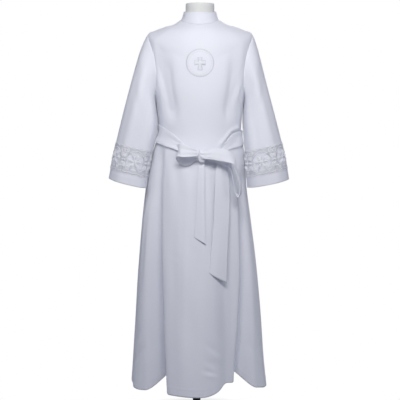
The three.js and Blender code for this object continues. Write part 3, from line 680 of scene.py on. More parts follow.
def panel(node, start, stop, columns, start_hole, stop_hole):
    """One panel of the body between two angles, with seam dips at its edges."""
    rows = PANEL_ROWS[:, None]
    depth = np.minimum(curve_at(np.arange(HEM_ROW + 1), body["front"], rows), 150)
    seam_turn = np.degrees(SEAM_GAP / 2 / depth)
    hole = armhole_at(rows)
    low = start + seam_turn + hole * start_hole
    high = stop - seam_turn - hole * stop_hole
    across = np.linspace(0, 1, columns)[None]
    angle = mix(low, high, across)
    row = np.broadcast_to(rows, angle.shape)
    point = body_point(angle, row)
    normal = body_normal(angle, row)
    edge = np.minimum(across, 1 - across) * (high - low) * np.pi / 180 * 120
    dip = 0.5 * np.exp(-((edge / 3.0) ** 2))
    fade = smooth(edge / 12)
    grid = point + normal * (cloth_relief(angle, row, point) * fade - dip)[..., None]
    sheet(node, grid, "robe_cloth", CLOTH)
    return grid


def sheet(node, grid, material, thickness, flip=False, both_sides=False):
    """Builds one sheet of cloth; its thickness goes inward, or to both sides of the grid."""
    faces = grid_faces(*grid.shape[:2])
    piece = build(f"{node}_cloth", grid.reshape(-1, 3), [faces[:, ::-1] if flip else faces], material,
                  uv=grid_uv(grid), thickness=thickness, nodes=[node])
    if both_sides:
        piece.modifiers["cloth thickness"].offset = 0.0


front_grid = panel("robe_front", 180, 360, 150, True, True)
back_right_grid = panel("robe_back_right", 0, 90, 78, True, False)
back_left_grid = panel("robe_back_left", 90, 180, 78, False, True)

# %% [markdown]
# ## Stand collar
#
# The collar is a stiff band that rises from the neckline. It leans in towards its rim, stays open at the
# centre back, and is edge-stitched all round. Its surface blends the neckline to a level oval rim, and two
# soft creases cross it at the right, where the band was folded.

# %% Collar
COLLAR_CLOTH = 1.7


def collar_point(angle, height):
    """The blend from neckline to rim, hollowed by 3h(1-h), with two soft creases."""
    angle, height = np.broadcast_arrays(np.asarray(angle, float), np.asarray(height, float))
    c, s = np.cos(np.radians(angle)), np.sin(np.radians(angle))
    foot = body_point(angle, np.zeros(angle.shape)) + np.array([0, 0, SEAM_GAP])
    rim = np.stack([46.6 * c, np.where(s < 0, 51, 43) * s, 1206 + np.where(s < 0, 3, 7) * s], -1)
    point = mix(foot, rim, height[..., None])
    hollow = 3 * height * (1 - height)
    spread = np.exp(-((turn_between(angle, 292) / 16) ** 2))
    low, high = np.exp(-(((height - 0.34) / 0.07) ** 2)), np.exp(-(((height - 0.82) / 0.05) ** 2))
    crease = 0.9 * spread * (low + high)
    out = np.stack([c, s, np.zeros_like(c)], -1)
    return point - out * (hollow + crease)[..., None]


collar_grid = collar_point(np.linspace(90.35, 449.65, 220)[None], np.linspace(0, 1, 30)[:, None])
sheet("collar", collar_grid, "robe_cloth", COLLAR_CLOTH)

# %% [markdown]
# ## Bell sleeves
#
# A sleeve is a tube from the armhole to a wide cuff. Turn 0 faces away from the body and 270 the front.
# Each section is an oval between an outer and an inner edge, and the first section is the armhole itself,
# a hair inside the panels' edges. A filled sleeve still breaks where the elbow would be, so soft diagonal
# dents cross it there, and long slow folds run down to the cuff.

# %% Sleeves
SLEEVE_COLUMNS = ["at", "outer_x", "outer_z", "inner_x", "inner_z", "front", "back", "middle_y"]
sleeves = {
    "left": table(SLEEVE_COLUMNS, [
        [0, 150, 1141, 128, 958, 60, 60, 0],
        [0.1, 164, 1118, 128.5, 944, 60, 60, -1],
        [0.25, 177, 1075, 124.5, 920, 59, 58, -10],
        [0.45, 201, 990, 121.7, 880, 57, 55, -27],
        [0.7, 239, 839, 135.5, 812, 55, 52, -36],
        [0.85, 251, 785, 147.5, 757, 56, 52, -42],
        [1, 261, 733, 154, 705, 57, 52, -46],
    ]),
    "right": table(SLEEVE_COLUMNS, [
        [0, 151, 1142, 128, 958, 60, 60, 0],
        [0.1, 161, 1119, 128.5, 944, 60, 60, -1],
        [0.25, 172, 1075, 125.5, 920, 59, 58, -5],
        [0.45, 194, 990, 124, 880, 57, 55, -15],
        [0.7, 233, 839, 129.5, 812, 57, 53, -31],
        [0.85, 245.5, 784, 132.5, 757, 58, 53, -39],
        [1, 255, 731, 136.5, 706, 60, 54, -44],
    ]),
}
SLEEVE_SIGN = {"left": -1, "right": 1}
SLEEVE_STOPS = np.linspace(0, 1, 130) ** 1.15
CUFF_LENGTH = 366.7
CUFF_TURN = 20.0
HOLE_SHARE = 0.994

sleeve_creases = table(
    ["turn", "at", "wide", "long", "lean", "deep"],
    [
        [256, 0.45, 16, 0.45, -0.15, 4.4],
        [232, 0.45, 13, 0.40, -0.25, -2.0],
        [288, 0.50, 15, 0.45, -0.15, -2.2],
        [318, 0.60, 14, 0.35, 0.0, 0.9],
        [200, 0.60, 14, 0.35, 0.0, 1.4],
        [262, 0.10, 26, 0.07, 0.0, 1.4],
        [300, 0.15, 18, 0.10, 0.1, 1.2],
        [235, 0.22, 20, 0.06, 0.35, 2.0],
        [250, 0.33, 24, 0.05, 0.30, -1.2],
        [228, 0.40, 20, 0.05, 0.40, 1.8],
        [285, 0.47, 26, 0.04, -0.25, 1.4],
        [318, 0.42, 18, 0.12, 0.0, 1.6],
        [275, 0.60, 12, 0.30, 0.0, 1.8],
        [300, 0.80, 12, 0.30, 0.0, -1.4],
        [246, 0.78, 12, 0.28, 0.0, 1.6],
        [20, 0.45, 30, 0.10, 0.2, 1.4],
        [60, 0.35, 22, 0.06, 0.3, 1.8],
        [110, 0.5, 14, 0.25, 0.0, 1.8],
        [130, 0.3, 20, 0.06, -0.3, 1.6],
        [75, 0.75, 12, 0.3, 0.0, 1.6],
    ],
)


def sleeve_point(side, turn, at):
    """Oval sections from the armhole to the cuff, pressed towards the sleeve's middle by its creases."""
    turn, at = np.broadcast_arrays(np.asarray(turn, float), np.asarray(at, float))
    value = {name: curve_at(sleeves[side]["at"], column, at) for name, column in sleeves[side].items()}
    sign = SLEEVE_SIGN[side]
    c, s = np.cos(np.radians(turn)), np.sin(np.radians(turn))
    depth = np.where(s < 0, value["front"], value["back"])
    reach = np.ones(turn.shape)
    for a, level, wide, long, lean, deep in zip(*sleeve_creases.values()):
        around = turn_between(turn, a)
        bell = np.exp(-((around / wide) ** 2) - ((at - level - lean * around / 180) / long) ** 2)
        reach = reach - deep / 56 * bell * smooth(at / 0.12)
    oval = np.stack([
        sign * (mix(value["inner_x"], value["outer_x"], (1 + c * reach) / 2)),
        value["middle_y"] + depth * s * reach,
        mix(value["inner_z"], value["outer_z"], (1 + c * reach) / 2),
    ], -1)
    opening = armhole_at(ARMHOLE_MIDDLE - ARMHOLE_REACH * c) * np.sign(s) * HOLE_SHARE
    row = ARMHOLE_MIDDLE - ARMHOLE_REACH * HOLE_SHARE * c
    hole = body_point(180 - opening if side == "left" else opening, row)
    return mix(hole, oval, smooth(at / 0.25)[..., None])


def sleeve_normal(side, turn, at):
    """Outward normal of the sleeve, by small differences."""
    at = np.clip(at, 0.01, 0.99)
    round_sleeve = sleeve_point(side, turn + 2, at) - sleeve_point(side, turn - 2, at)
    down_sleeve = sleeve_point(side, turn, at + 0.005) - sleeve_point(side, turn, at - 0.005)
    return unit(np.cross(down_sleeve, round_sleeve)) * SLEEVE_SIGN[side]


def sleeve(side):
    """The sleeve's cloth, with a dip at the armhole seam and a fine ridge where the cuff is turned up."""
    turn, at = np.meshgrid(np.arange(128) * 360 / 128, SLEEVE_STOPS)
    grid = sleeve_point(side, turn, at)
    from_cuff = (1 - at) * CUFF_LENGTH
    ridge = 0.35 * np.exp(-(((from_cuff - CUFF_TURN) / 1.6) ** 2)) - 0.5 * np.exp(-((at * 420 / 3) ** 2))
    grid = grid + sleeve_normal(side, turn, at) * ridge[..., None]
    faces = grid_faces(*grid.shape[:2], ring=True)
    if side == "left":
        faces = faces[:, ::-1]
    piece = build(f"sleeve_{side}_cloth", grid.reshape(-1, 3), [faces], "robe_cloth",
                  uv=grid_uv(grid), thickness=CLOTH, nodes=[f"sleeve_{side}"])
    ring = np.concatenate([grid, grid[:, :1]], 1)
    return ring


sleeve_rings = {side: sleeve(side) for side in ("left", "right")}

# %% [markdown]
# ## Guipure lace on the sleeves
#
# Guipure is embroidered with thick cord on a ground that is washed away, so its motifs stand in relief,
# with real gaps between them. It could be a bump map, but its shadows are what shows it white on white.
# So it is drawn flat first: one repeat is a rosette of six petals under a double arch, with leaves between
# two rosettes. The flat drawing then wraps round the sleeve: x turns round it and y runs up from the cuff.

# %% The lace's ground
LACE_REPEATS = 5
LACE_HALF = 38.0
LACE_WIDE = 34.5
LACE_FOOT = 33.0
LACE_FIRST_TURN = 256.0
LACE_SPOKES = 72
LACE_POINTS = 36
GROUND_LIFT = 0.35


def on_sleeve(side, n, x, y, lift):
    """Wraps the flat drawing of repeat n round a sleeve, lifted off its cloth. Gives points and normals."""
    turn = LACE_FIRST_TURN + n * 360 / LACE_REPEATS + x / LACE_WIDE * 180 / LACE_REPEATS
    at = 1 - (LACE_FOOT + LACE_HALF + y) / CUFF_LENGTH
    normal = sleeve_normal(side, turn, at)
    return sleeve_point(side, turn, at) + normal * np.asarray(lift)[..., None], normal


def ground_sheet(side, repeats):
    """Rings round each rosette's middle out to the repeat's edge. Cells between two petals are left out."""
    angle = np.radians(np.arange(LACE_SPOKES) * 360 / LACE_SPOKES)
    petal = 0.5 + 0.5 * np.cos(6 * angle)
    outline = np.minimum(LACE_WIDE / np.maximum(np.abs(np.cos(angle)), 1e-6),
                         LACE_HALF / np.maximum(np.abs(np.sin(angle)), 1e-6))
    x_edge, y_edge = outline * np.cos(angle), outline * np.sin(angle)
    swing = np.abs(np.cos(1.5 * np.pi * x_edge / LACE_WIDE))
    low, high = y_edge < -LACE_HALF + 0.01, y_edge > LACE_HALF - 0.01
    y_edge = np.where(low, y_edge - 3.5 * swing + 1.2, y_edge)
    y_edge = np.where(high, y_edge - 1.2 + 1.2 * swing, y_edge)
    spoke = np.stack([np.cos(angle), np.sin(angle)], 1)
    rings = [spoke * r for r in (1.5, 6.0, 10.0)]
    rings += [spoke * (valley + (tip - valley) * petal)[:, None] for tip, valley in ((15, 12), (20.5, 12.8))]
    rings.append(spoke * 25.6)
    edge = np.stack([x_edge, y_edge], 1)
    rings += [mix(rings[-1], edge, f) for f in (0.34, 0.67, 1.0)]
    flat = np.array(rings)
    faces = grid_faces(len(flat), LACE_SPOKES, True)
    middle = np.degrees(angle[faces[:, 0] % LACE_SPOKES]) + 2.5
    from_valley = np.abs(middle % 60 - 30)
    gap = (faces[:, 0] // LACE_SPOKES == 4) & (from_valley < 20)
    hub = np.arange(LACE_SPOKES)[None]
    flip = 1 if side == "right" else -1
    parts = []
    for n in repeats:
        points = on_sleeve(side, n, flat[..., 0], flat[..., 1], np.full(flat.shape[:2], GROUND_LIFT + 0.5))[0]
        parts.append((points.reshape(-1, 3), [faces[~gap][:, ::flip], hub[:, ::-flip]]))
    return join(parts), flat


def circle(radius, centre=(0, 0)):
    """A closed circle in the flat drawing."""
    turn = np.arange(LACE_POINTS) / LACE_POINTS * 2 * np.pi
    return np.stack([centre[0] + radius * np.cos(turn), centre[1] + radius * np.sin(turn)], 1)


def teardrop(length, wide):
    """A petal from the origin along +X: x = length * s, y = wide * sin t * s^0.7, s = (1 - cos t)/2."""
    t = np.arange(LACE_POINTS) / LACE_POINTS * 2 * np.pi
    swell = (1 - np.cos(t)) / 2
    return np.stack([length * swell, wide * np.sin(t) * swell**0.7], 1)


def turned(shape, degrees, move=(0, 0)):
    """A flat shape turned about the origin and moved."""
    a = np.radians(degrees)
    x = shape[:, 0] * np.cos(a) - shape[:, 1] * np.sin(a) + move[0]
    y = shape[:, 0] * np.sin(a) + shape[:, 1] * np.cos(a) + move[1]
    return np.stack([x, y], 1)


print("lace repeat", 2 * LACE_WIDE, "by", 2 * LACE_HALF, "mm")

# %% Cords and pads of the lace
def spiral(sign, up, x, y):
    """A curl that winds in by about one turn and a third: radius from 7 down to 1.6."""
    f = np.linspace(0, 1, 26)
    turn = np.pi * (0.5 + 2.6 * f)
    radius = 7.0 - 5.4 * f
    return np.stack([sign * (x + radius * np.cos(turn)), up * (y + radius * np.sin(turn))], 1)


def lace_drawing():
    """Closed cords, open cords and raised pads of one repeat, as flat outlines."""
    closed, opened, pads = [], [], []
    for k in range(6):
        way = np.radians(60 * k)
        closed.append(turned(teardrop(17.5, 7.0), 60 * k, (4.6 * np.cos(way), 4.6 * np.sin(way))))
        pads.append(turned(teardrop(14.6, 5.0), 60 * k, (5.8 * np.cos(way), 5.8 * np.sin(way))))
    closed.append(circle(4.0))
    pads.append(circle(3.0))
    for radius in (24.6, 28.4):
        arch = np.linspace(0.24, 0.8, 26) * np.pi
        opened.append(np.stack([radius * np.cos(arch), radius * np.sin(arch)], 1))
    for sign in (-1, 1):
        for up, reach in ((-1, 13.0), (1, 10.5)):
            tip = (sign * 31.0, up * 7)
            closed.append(turned(teardrop(reach, 4.6), 90 * up - sign * up * 34, tip))
            closed.append(turned(teardrop(reach, 4.6), 90 * up + sign * up * 8, tip))
            pads.append(turned(teardrop(reach - 3, 2.8), 90 * up - sign * up * 34, tip))
        opened.append(spiral(sign, -1, 20.5, 22.0))
        opened.append(spiral(sign, 1, 30.0, 26.5))
        pads.append(circle(2.6, (sign * 32.0, 0)))
    x = np.linspace(-LACE_WIDE, LACE_WIDE, 26)
    swing = np.abs(np.cos(1.5 * np.pi * x / LACE_WIDE))
    opened.append(np.stack([x, LACE_HALF - 3.0 + 1.4 * np.cos(3 * np.pi * x / LACE_WIDE)], 1))
    opened.append(np.stack([x, -LACE_HALF + 1.6 - 3.3 * swing], 1))
    opened.append(np.stack([x, -LACE_HALF + 6.0 - 3.3 * swing], 1))
    return closed, opened, pads


def lace_cords(side, repeats):
    """The drawing's cords as round tubes and its pads as low domes, on the wrapped ground."""
    closed, opened, pads = lace_drawing()
    parts = []
    base = GROUND_LIFT + 0.5
    for n in repeats:
        for shapes, is_closed, radius in ((closed, True, 1.3), (opened, False, 1.3)):
            for count in sorted({len(s) for s in shapes}):
                flat = np.array([s for s in shapes if len(s) == count])
                lift = np.full(flat.shape[:2], base + 0.35)
                path, up = on_sleeve(side, n, flat[..., 0], flat[..., 1], lift)
                parts.append(tubes(path, up, radius, 6, is_closed))
        flat = np.array(pads)
        centre = flat.mean(1, keepdims=True)
        fractions = np.array([1.0, 0.92, 0.7, 0.4, 0.12])
        rings = mix(centre[:, None], flat[:, None], fractions[None, :, None, None])
        dome = base - 0.2 + 3.4 * np.sqrt(1 - fractions**2 * 0.999)
        lift = np.broadcast_to(dome[None, :, None], rings.shape[:3])
        points, _ = on_sleeve(side, n, rings[..., 0], rings[..., 1], lift)
        size = len(fractions) * LACE_POINTS
        first = (np.arange(len(points)) * size)[:, None]
        quads = (grid_faces(len(fractions), LACE_POINTS, True)[None] + first[..., None]).reshape(-1, 4)
        feet = first + np.arange(LACE_POINTS)
        tops = feet + size - LACE_POINTS
        flip = 1 if side == "left" else -1
        parts.append((points.reshape(-1, 3), [quads[:, ::-flip], tops[:, ::-flip], feet[:, ::flip]]))
    return join(parts)


def lace(side, part, repeats):
    """One stretch of the lace: its ground and its relief."""
    (points, faces), flat = ground_sheet(side, repeats)
    node = f"lace_{side}_{part}"
    # The ground's darker grey is painted shade for the gaps between the cords; the cords on it keep the white
    # of the cloth.
    piece = build(f"{node}_ground", points, faces, "lace_ground_painted_shade", thickness=0.5, nodes=[node])
    points, faces = lace_cords(side, repeats)
    build(f"{node}_cords", points, faces, "lace_cord")
    print(node, "cords", sum(len(f) for f in faces), "faces")


for side in ("left", "right"):
    lace(side, "front", [-1, 0, 1])
    lace(side, "back", [2, 3])

# %% [markdown]
# ## The emblem
#
# A round patch with a corded rim sits on the chest. It lies on the front's own surface, lifted by the
# cloth's thickness, so it never floats or sinks. The motif is a plain cross with flared arms in satin
# stitch, with an outline cord, and a running stitch goes round inside the rim.

# %% Emblem
EMBLEM_Z, EMBLEM_RADIUS, PATCH_RISE = 1060.0, 38.4, 1.2


def emblem_patch():
    """Rings from the middle to the rim, each on the front's surface."""
    spokes = 96
    turn = np.arange(spokes) / spokes * 2 * np.pi
    radius = np.array([3, 10, 17, 24, 30, 34, 36, 37.4])
    x = radius[:, None] * np.cos(turn)
    z = radius[:, None] * np.sin(turn)
    rise = np.where(radius > 37, 0.5, PATCH_RISE)[:, None] * np.ones(spokes)
    points = on_front(x, EMBLEM_Z + z, rise + SEAM_GAP)
    quads = grid_faces(len(radius), spokes, True)
    hub = np.arange(spokes)[None]
    return points, [quads[:, ::-1], hub]


patch_points, patch_faces = emblem_patch()
patch = build("emblem_patch_cloth", patch_points.reshape(-1, 3), patch_faces, "emblem_cloth",
              thickness=0.6, nodes=["emblem_patch"])


def front_cord(x, z, height, radius):
    """A closed cord on the chest along a flat outline."""
    path = on_front(x, EMBLEM_Z + z, np.full(x.shape, height))
    up = on_front(x, EMBLEM_Z + z, np.full(x.shape, height + 1.0)) - path
    return tubes(path[None], unit(up)[None], radius, 8, True)


turn = np.arange(180) / 180 * 2 * np.pi
rim = [front_cord(EMBLEM_RADIUS * np.cos(turn), EMBLEM_RADIUS * np.sin(turn), 1.0, 0.85)]
rim.append(front_cord(36.0 * np.cos(turn), 36.0 * np.sin(turn), 1.45, 0.35))
rim_points, rim_faces = join(rim)
build("emblem_rim", rim_points, rim_faces, "rim_cord")

dashes = (np.arange(44)[:, None] + np.linspace(0.12, 0.74, 7)) / 44 * 2 * np.pi
dash_x, dash_z = 31.6 * np.cos(dashes), EMBLEM_Z + 31.6 * np.sin(dashes)
dash_path = on_front(dash_x, dash_z, np.full(dashes.shape, 1.75))
dash_up = unit(on_front(dash_x, dash_z, np.full(dashes.shape, 2.75)) - dash_path)
points, faces = tubes(dash_path, dash_up, np.array([[0.12, 0.34, 0.42, 0.44, 0.42, 0.34, 0.12]]), 6)
build("emblem_running_stitch", points, faces, "rim_cord")

# %% The cross in satin stitch
CROSS_CORE, CROSS_ARM, CROSS_FOOT, CROSS_FLARE = 4.0, 15.0, 20.0, 6.5
CROSS_DOME = 1.0


def cross_arm(direction, reach):
    """An arm as a grid: its half width grows from the core to the flare by a square law."""
    along = np.linspace(0, 1, 26)[:, None]
    across = np.linspace(-1, 1, 15)[None]
    half = mix(CROSS_CORE, CROSS_FLARE, along**2)
    u = mix(CROSS_CORE, reach, along) + 0 * across
    v = half * across
    x = u * direction[0] - v * direction[1]
    z = u * direction[1] + v * direction[0]
    dome = CROSS_DOME * (1 - np.abs(across) ** 3) * smooth((1 - along) / 0.12 + 0.15) + 0.15
    ribs = 0.12 * np.sin(along * 26 * 2.2)
    return on_front(x, EMBLEM_Z + z, PATCH_RISE + SEAM_GAP + dome + ribs)


parts = []
for direction in ((1, 0), (-1, 0), (0, 1), (0, -1)):
    arm = cross_arm(direction, CROSS_FOOT if direction == (0, -1) else CROSS_ARM)
    parts.append((arm.reshape(-1, 3), [grid_faces(*arm.shape[:2])[:, ::-1]]))
square = np.linspace(-CROSS_CORE, CROSS_CORE, 9)
x, z = np.meshgrid(square, square)
core = on_front(x, EMBLEM_Z + z, PATCH_RISE + SEAM_GAP + (CROSS_DOME + 0.05) + 0 * x)
parts.append((core.reshape(-1, 3), [grid_faces(9, 9)]))
points, faces = join(parts)
build("emblem_cross_stitch", points, faces, "satin_stitch", thickness=0.8, nodes=["emblem_cross"])

corners = np.array([
    [CROSS_CORE, CROSS_CORE], [CROSS_FLARE, CROSS_ARM], [-CROSS_FLARE, CROSS_ARM], [-CROSS_CORE, CROSS_CORE],
    [-CROSS_ARM, CROSS_FLARE], [-CROSS_ARM, -CROSS_FLARE], [-CROSS_CORE, -CROSS_CORE],
    [-CROSS_FLARE, -CROSS_FOOT], [CROSS_FLARE, -CROSS_FOOT], [CROSS_CORE, -CROSS_CORE],
    [CROSS_ARM, -CROSS_FLARE], [CROSS_ARM, CROSS_FLARE],
])
after = np.roll(corners, -1, 0)
outline = mix(corners[:, None], after[:, None], np.linspace(0, 1, 9)[None, :-1, None]).reshape(-1, 2)
points, faces = front_cord(outline[:, 0], outline[:, 1], 1.9, 0.5)
build("emblem_cross_outline", points, faces, "rim_cord")
print("emblem done")

# %% [markdown]
# ## Sash, knot and bow
#
# The sash is a double strip of the robe's cloth, edge-stitched. It goes round the waist a little above
# the hips, dips to the knot, and narrows there, so its cloth gathers in long pleats. The band is a grid
# on the body's surface. Its pleats are cosines across the strip whose depth grows towards the knot.

# %% Sash band
SASH_LIFT, SASH_CLOTH = 1.6, 1.4


def sash_point(turn, across, lift):
    """A point of the band: turn goes round the body, across from -1 below to 1 above."""
    half = curve_at(sash["turn"], sash["half"], turn)
    z = curve_at(sash["turn"], sash["centre_z"], turn) + half * across
    angle = 180 - turn
    row = row_at(angle, z)
    return body_point(angle, row) + body_normal(angle, row, False) * np.asarray(lift)[..., None]


def sash_band():
    """The whole band, with pleats near the knot and slow waves elsewhere."""
    turn = np.linspace(sash["turn"][0], sash["turn"][-1], 340)[None]
    across = np.linspace(-1, 1, 33)[:, None]
    near_left = smooth((-30 - turn) / 50)
    near_right = smooth((turn - 190) / 50)
    pleats = near_left * 0.55 * (1 + np.cos(across * 7.5 + turn / 11))
    pleats = pleats + near_right * 0.3 * (1 + np.cos(across * 6))
    waves = 0.7 * (1 + np.sin(turn / 6 + across * 2.2)) * (0.35 + 0.65 * (1 - across**2))
    edge = 0.25 * np.exp(-(((np.abs(across) - 0.93) / 0.03) ** 2))
    left, right = smooth((40 - turn) / 30), smooth((turn - 150) / 30)
    proud = (3.2 * left + 1.4 * right) * smooth((-across - 0.1) / 0.9)
    proud = proud + (1.2 * left + 2.0 * right) * smooth(across)
    lift = SASH_LIFT + pleats + waves * (1 - near_left) - edge + proud
    return sash_point(turn + 0 * across, across + 0 * turn, lift)


band_grid = sash_band()
sheet("sash_band", band_grid, "sash_cloth", SASH_CLOTH)

# %% [markdown]
# The knot is where the strip wraps over itself. It is a squared-off ball, and ridges that run down and a
# little across it show the gathered strip. Each bow loop is a strip along a path that leaves the knot and
# comes back to it, and leans as its table says. Pinch pleats are deep at the knot and fade along the loop.

# %% Knot
KNOT = {"x": 5.0, "y": -132.2, "z": 801.0, "half_x": 11.0, "half_y": 11.0, "half_z": 19.0}


def squared(value):
    """Keeps the sign and raises the size to 0.72, which swells a ball towards its corners."""
    return np.sign(value) * np.abs(value) ** 0.72


def knot():
    """Sections of a squared ball, raised by ridges that follow the strip over the knot."""
    turn = np.arange(96)[None] / 96 * 2 * np.pi
    rise = np.linspace(-np.pi / 2, np.pi / 2, 66)[1:-1, None]
    x = squared(np.cos(rise)) * squared(np.cos(turn))
    y = squared(np.cos(rise)) * squared(np.sin(turn))
    z = squared(np.sin(rise)) + 0 * turn
    slant = x + 0.55 * z
    groove = 0.06 * np.exp(-(((slant - 0.35) / 0.12) ** 2))
    ridge = 1 + 0.035 * np.cos(6.5 * slant) * np.cos(rise) ** 0.5 - groove
    grid = np.stack([
        KNOT["x"] + KNOT["half_x"] * x * ridge,
        KNOT["y"] + KNOT["half_y"] * y * ridge,
        KNOT["z"] + KNOT["half_z"] * z * (0.5 + 0.5 * ridge),
    ], -1)
    hub = np.arange(96)[None]
    last = hub + (grid.shape[0] - 1) * 96
    return grid.reshape(-1, 3), [grid_faces(grid.shape[0], 96, True), hub[:, ::-1], last]


points, faces = knot()
build("sash_knot_cloth", points, faces, "sash_cloth", nodes=["sash_knot"])

# %% Bow loops
RIBBON_COLUMNS = ["x", "y", "z", "half", "lean", "turn"]
bow_left = table(RIBBON_COLUMNS, [
    [-7.6, -142, 811, 8.5, 14, 0],
    [-22, -149, 814, 13, 18, 0],
    [-42, -152.5, 817, 17, 18, 0],
    [-56, -149, 820, 18.5, 12, 0],
    [-59.5, -141, 815, 17.5, 0, 0],
    [-53, -132, 802, 17, -8, 0],
    [-38, -129, 791, 17, -10, 0],
    [-20, -129, 797, 12, -6, 0],
    [-6, -129, 799, 8, 0, 0],
])
bow_right = table(RIBBON_COLUMNS, [
    [1, -144, 807, 9, 10, 0],
    [15, -146, 807, 12, 12, 0],
    [34, -148.5, 809, 15.5, 14, 0],
    [58, -150, 807, 17.5, 16, 0],
    [80, -148, 801, 17, 22, 0],
    [95, -143, 789, 14, 46, 6],
    [102, -138, 764, 12, 78, 12],
    [111, -135, 731, 12, 86, 14],
    [115, -132, 704, 12, 88, 14],
    [108, -130, 688, 12, 90, 14],
    [99, -130, 702, 12, 90, 14],
    [93, -130, 735, 12, 84, 10],
    [86, -128, 768, 12, 62, 4],
    [72, -128, 786, 13, 15, 0],
    [45, -128, 794, 12, -8, 0],
    [16.6, -129, 797, 8, 0, 0],
])


def ribbon(path, steps, across, pleat, pinch):
    """A strip along a path: its width leans, its pleats fade, and two creases cross near the knot."""
    knots = np.arange(len(path["x"]))
    at = np.linspace(0, knots[-1], steps)
    middle = np.stack([curve_at(knots, path[axis], at) for axis in "xyz"], -1)
    along = unit(np.gradient(middle, axis=0))
    lean = np.radians(curve_at(knots, path["lean"], at))
    turn = np.radians(curve_at(knots, path["turn"], at))
    wide = np.stack([np.sin(turn), np.sin(lean) * np.cos(turn), np.cos(lean) * np.cos(turn)], -1)
    wide = unit(wide - along * (wide * along).sum(-1, keepdims=True))
    off = np.cross(wide, along)
    side = np.linspace(-1, 1, across)
    half = curve_at(knots, path["half"], at)
    from_end = np.minimum(at, knots[-1] - at)
    depth = pleat * np.exp(-((from_end / 1.6) ** 2)) + 0.25 * pleat
    wave = depth[:, None] * np.cos(side[None] * 7.0 + at[:, None] * 0.5)
    curl = 1.2 * (side[None] ** 2 - 0.4) * (1 - np.exp(-from_end[:, None]))
    grid = middle[:, None] + wide[:, None] * (half[:, None] * side[None])[..., None]
    run = at[:, None] - 1.0
    cross = 0
    for way in (-1, 1):
        cross = cross + np.exp(-(((side[None] + 0.45 + way * 0.55 * run) / 0.12) ** 2) - (run / 0.8) ** 2)
    return grid + off[:, None] * (wave + curl + pinch * cross)[..., None]


for node, path, steps, pinch in (("bow_left", bow_left, 120, 0.3), ("bow_right", bow_right, 200, 1.1)):
    sheet(node, ribbon(path, steps, 29, 0.55, pinch), "sash_cloth", SASH_CLOTH,
          both_sides=True)

# %% [markdown]
# ## Tails
#
# Two ends of the sash hang before the skirt. A hanging strip follows the smooth skirt and bridges its
# folds. The long tail is nearly flat with a slow wave down its length, and the short one is folded
# lengthwise, so it slopes to a crisp right edge. Both ends are cut on a slant.

# %% Tails
TAIL_COLUMNS = ["z", "x", "half", "before", "slant"]
tail_long = table(TAIL_COLUMNS, [
    [796, 61.5, 12.5, 10.3, 0],
    [779, 62, 14, 10.3, 0],
    [745, 61.5, 18.5, 9.5, 0],
    [700, 62.5, 21, 8, 0],
    [640, 61, 22, 7, 0],
    [560, 56, 23, 6, 0],
    [461, 50, 24.5, 4.2, -15],
])
tail_short = table(TAIL_COLUMNS, [
    [781.5, 4, 8, 5, 0],
    [740, 3, 9.5, 5, 0],
    [660, 1.5, 12, 5, 0],
    [567, 0, 16, 3.6, -9],
])


def tail(node, levels, rows, across, relief):
    """Levels of the strip before the smooth skirt; relief(side, down) moves it out."""
    knots = np.arange(len(levels["z"]))
    at = np.linspace(0, knots[-1], rows)[:, None]
    side = np.linspace(-1, 1, across)[None]
    value = {column: curve_at(knots, levels[column], at) for column in TAIL_COLUMNS}
    x = value["x"] + value["half"] * side
    z = value["z"] + value["slant"] * side
    angle = front_angle(x, z)
    grid = body_point(angle, row_at(angle, z), False)
    grid[..., 1] -= value["before"] + SASH_CLOTH + relief(side, at / knots[-1])
    sheet(node, grid, "sash_cloth", SASH_CLOTH, flip=True)
    return grid


def long_relief(side, down):
    """Slow waves, and two gathers that fade from the top."""
    gathers = 1.6 * np.exp(-down / 0.16) * (np.cos(side * 6.5) + 0.2)
    waves = 1.3 * np.sin(down * 7 + side * 1.3) * smooth(down / 0.3)
    return gathers * smooth(down / 0.08) + waves - 6.0 * smooth((side + 0.4) / 1.4) * down**4


def short_relief(side, down):
    """The strip is folded lengthwise: its face rises to a crisp edge on its right."""
    return 4.2 * smooth((side + 1) / 1.8) * smooth(down / 0.1) + 0.8 * np.sin(down * 6)


tail_long_grid = tail("tail_long", tail_long, 150, 31, long_relief)
tail_short_grid = tail("tail_short", tail_short, 100, 25, short_relief)

# %% [markdown]
# ## Sewing
#
# Edge stitching is what makes a white edge read as sewn. One stitch is a short cord with tapered ends,
# set slightly into the cloth. They are laid along a line at three stitches to the centimetre, all as
# arrays, and joined into one mesh for each kind of seam.

# %% Edge stitches
STITCH, STITCH_GAP = 2.4, 0.9


def stitches(line, up, lift=0.12, radius=0.22):
    """Short tapered cords along a line of points (n, 3), at equal distances along its length."""
    distance = np.concatenate([[0], np.cumsum(np.linalg.norm(np.diff(line, axis=0), axis=1))])
    starts = np.arange(1.0, distance[-1] - STITCH - 0.5, STITCH + STITCH_GAP)
    places = starts[:, None] + np.linspace(0, STITCH, 5)[None]
    path = np.stack([np.interp(places, distance, line[:, k]) for k in range(3)], -1)
    ups = unit(np.stack([np.interp(places, distance, up[:, k]) for k in range(3)], -1))
    dip = np.array([-0.25, 0.0, 0.08, 0.0, -0.25])
    taper = np.array([0.6, 0.95, 1.0, 0.95, 0.6]) * radius
    return tubes(path + ups * (lift + dip)[..., None], ups, taper[None], 5)


def grid_normals(grid):
    """Unit normals of a grid of points."""
    return unit(np.cross(np.gradient(grid, axis=1), np.gradient(grid, axis=0)))


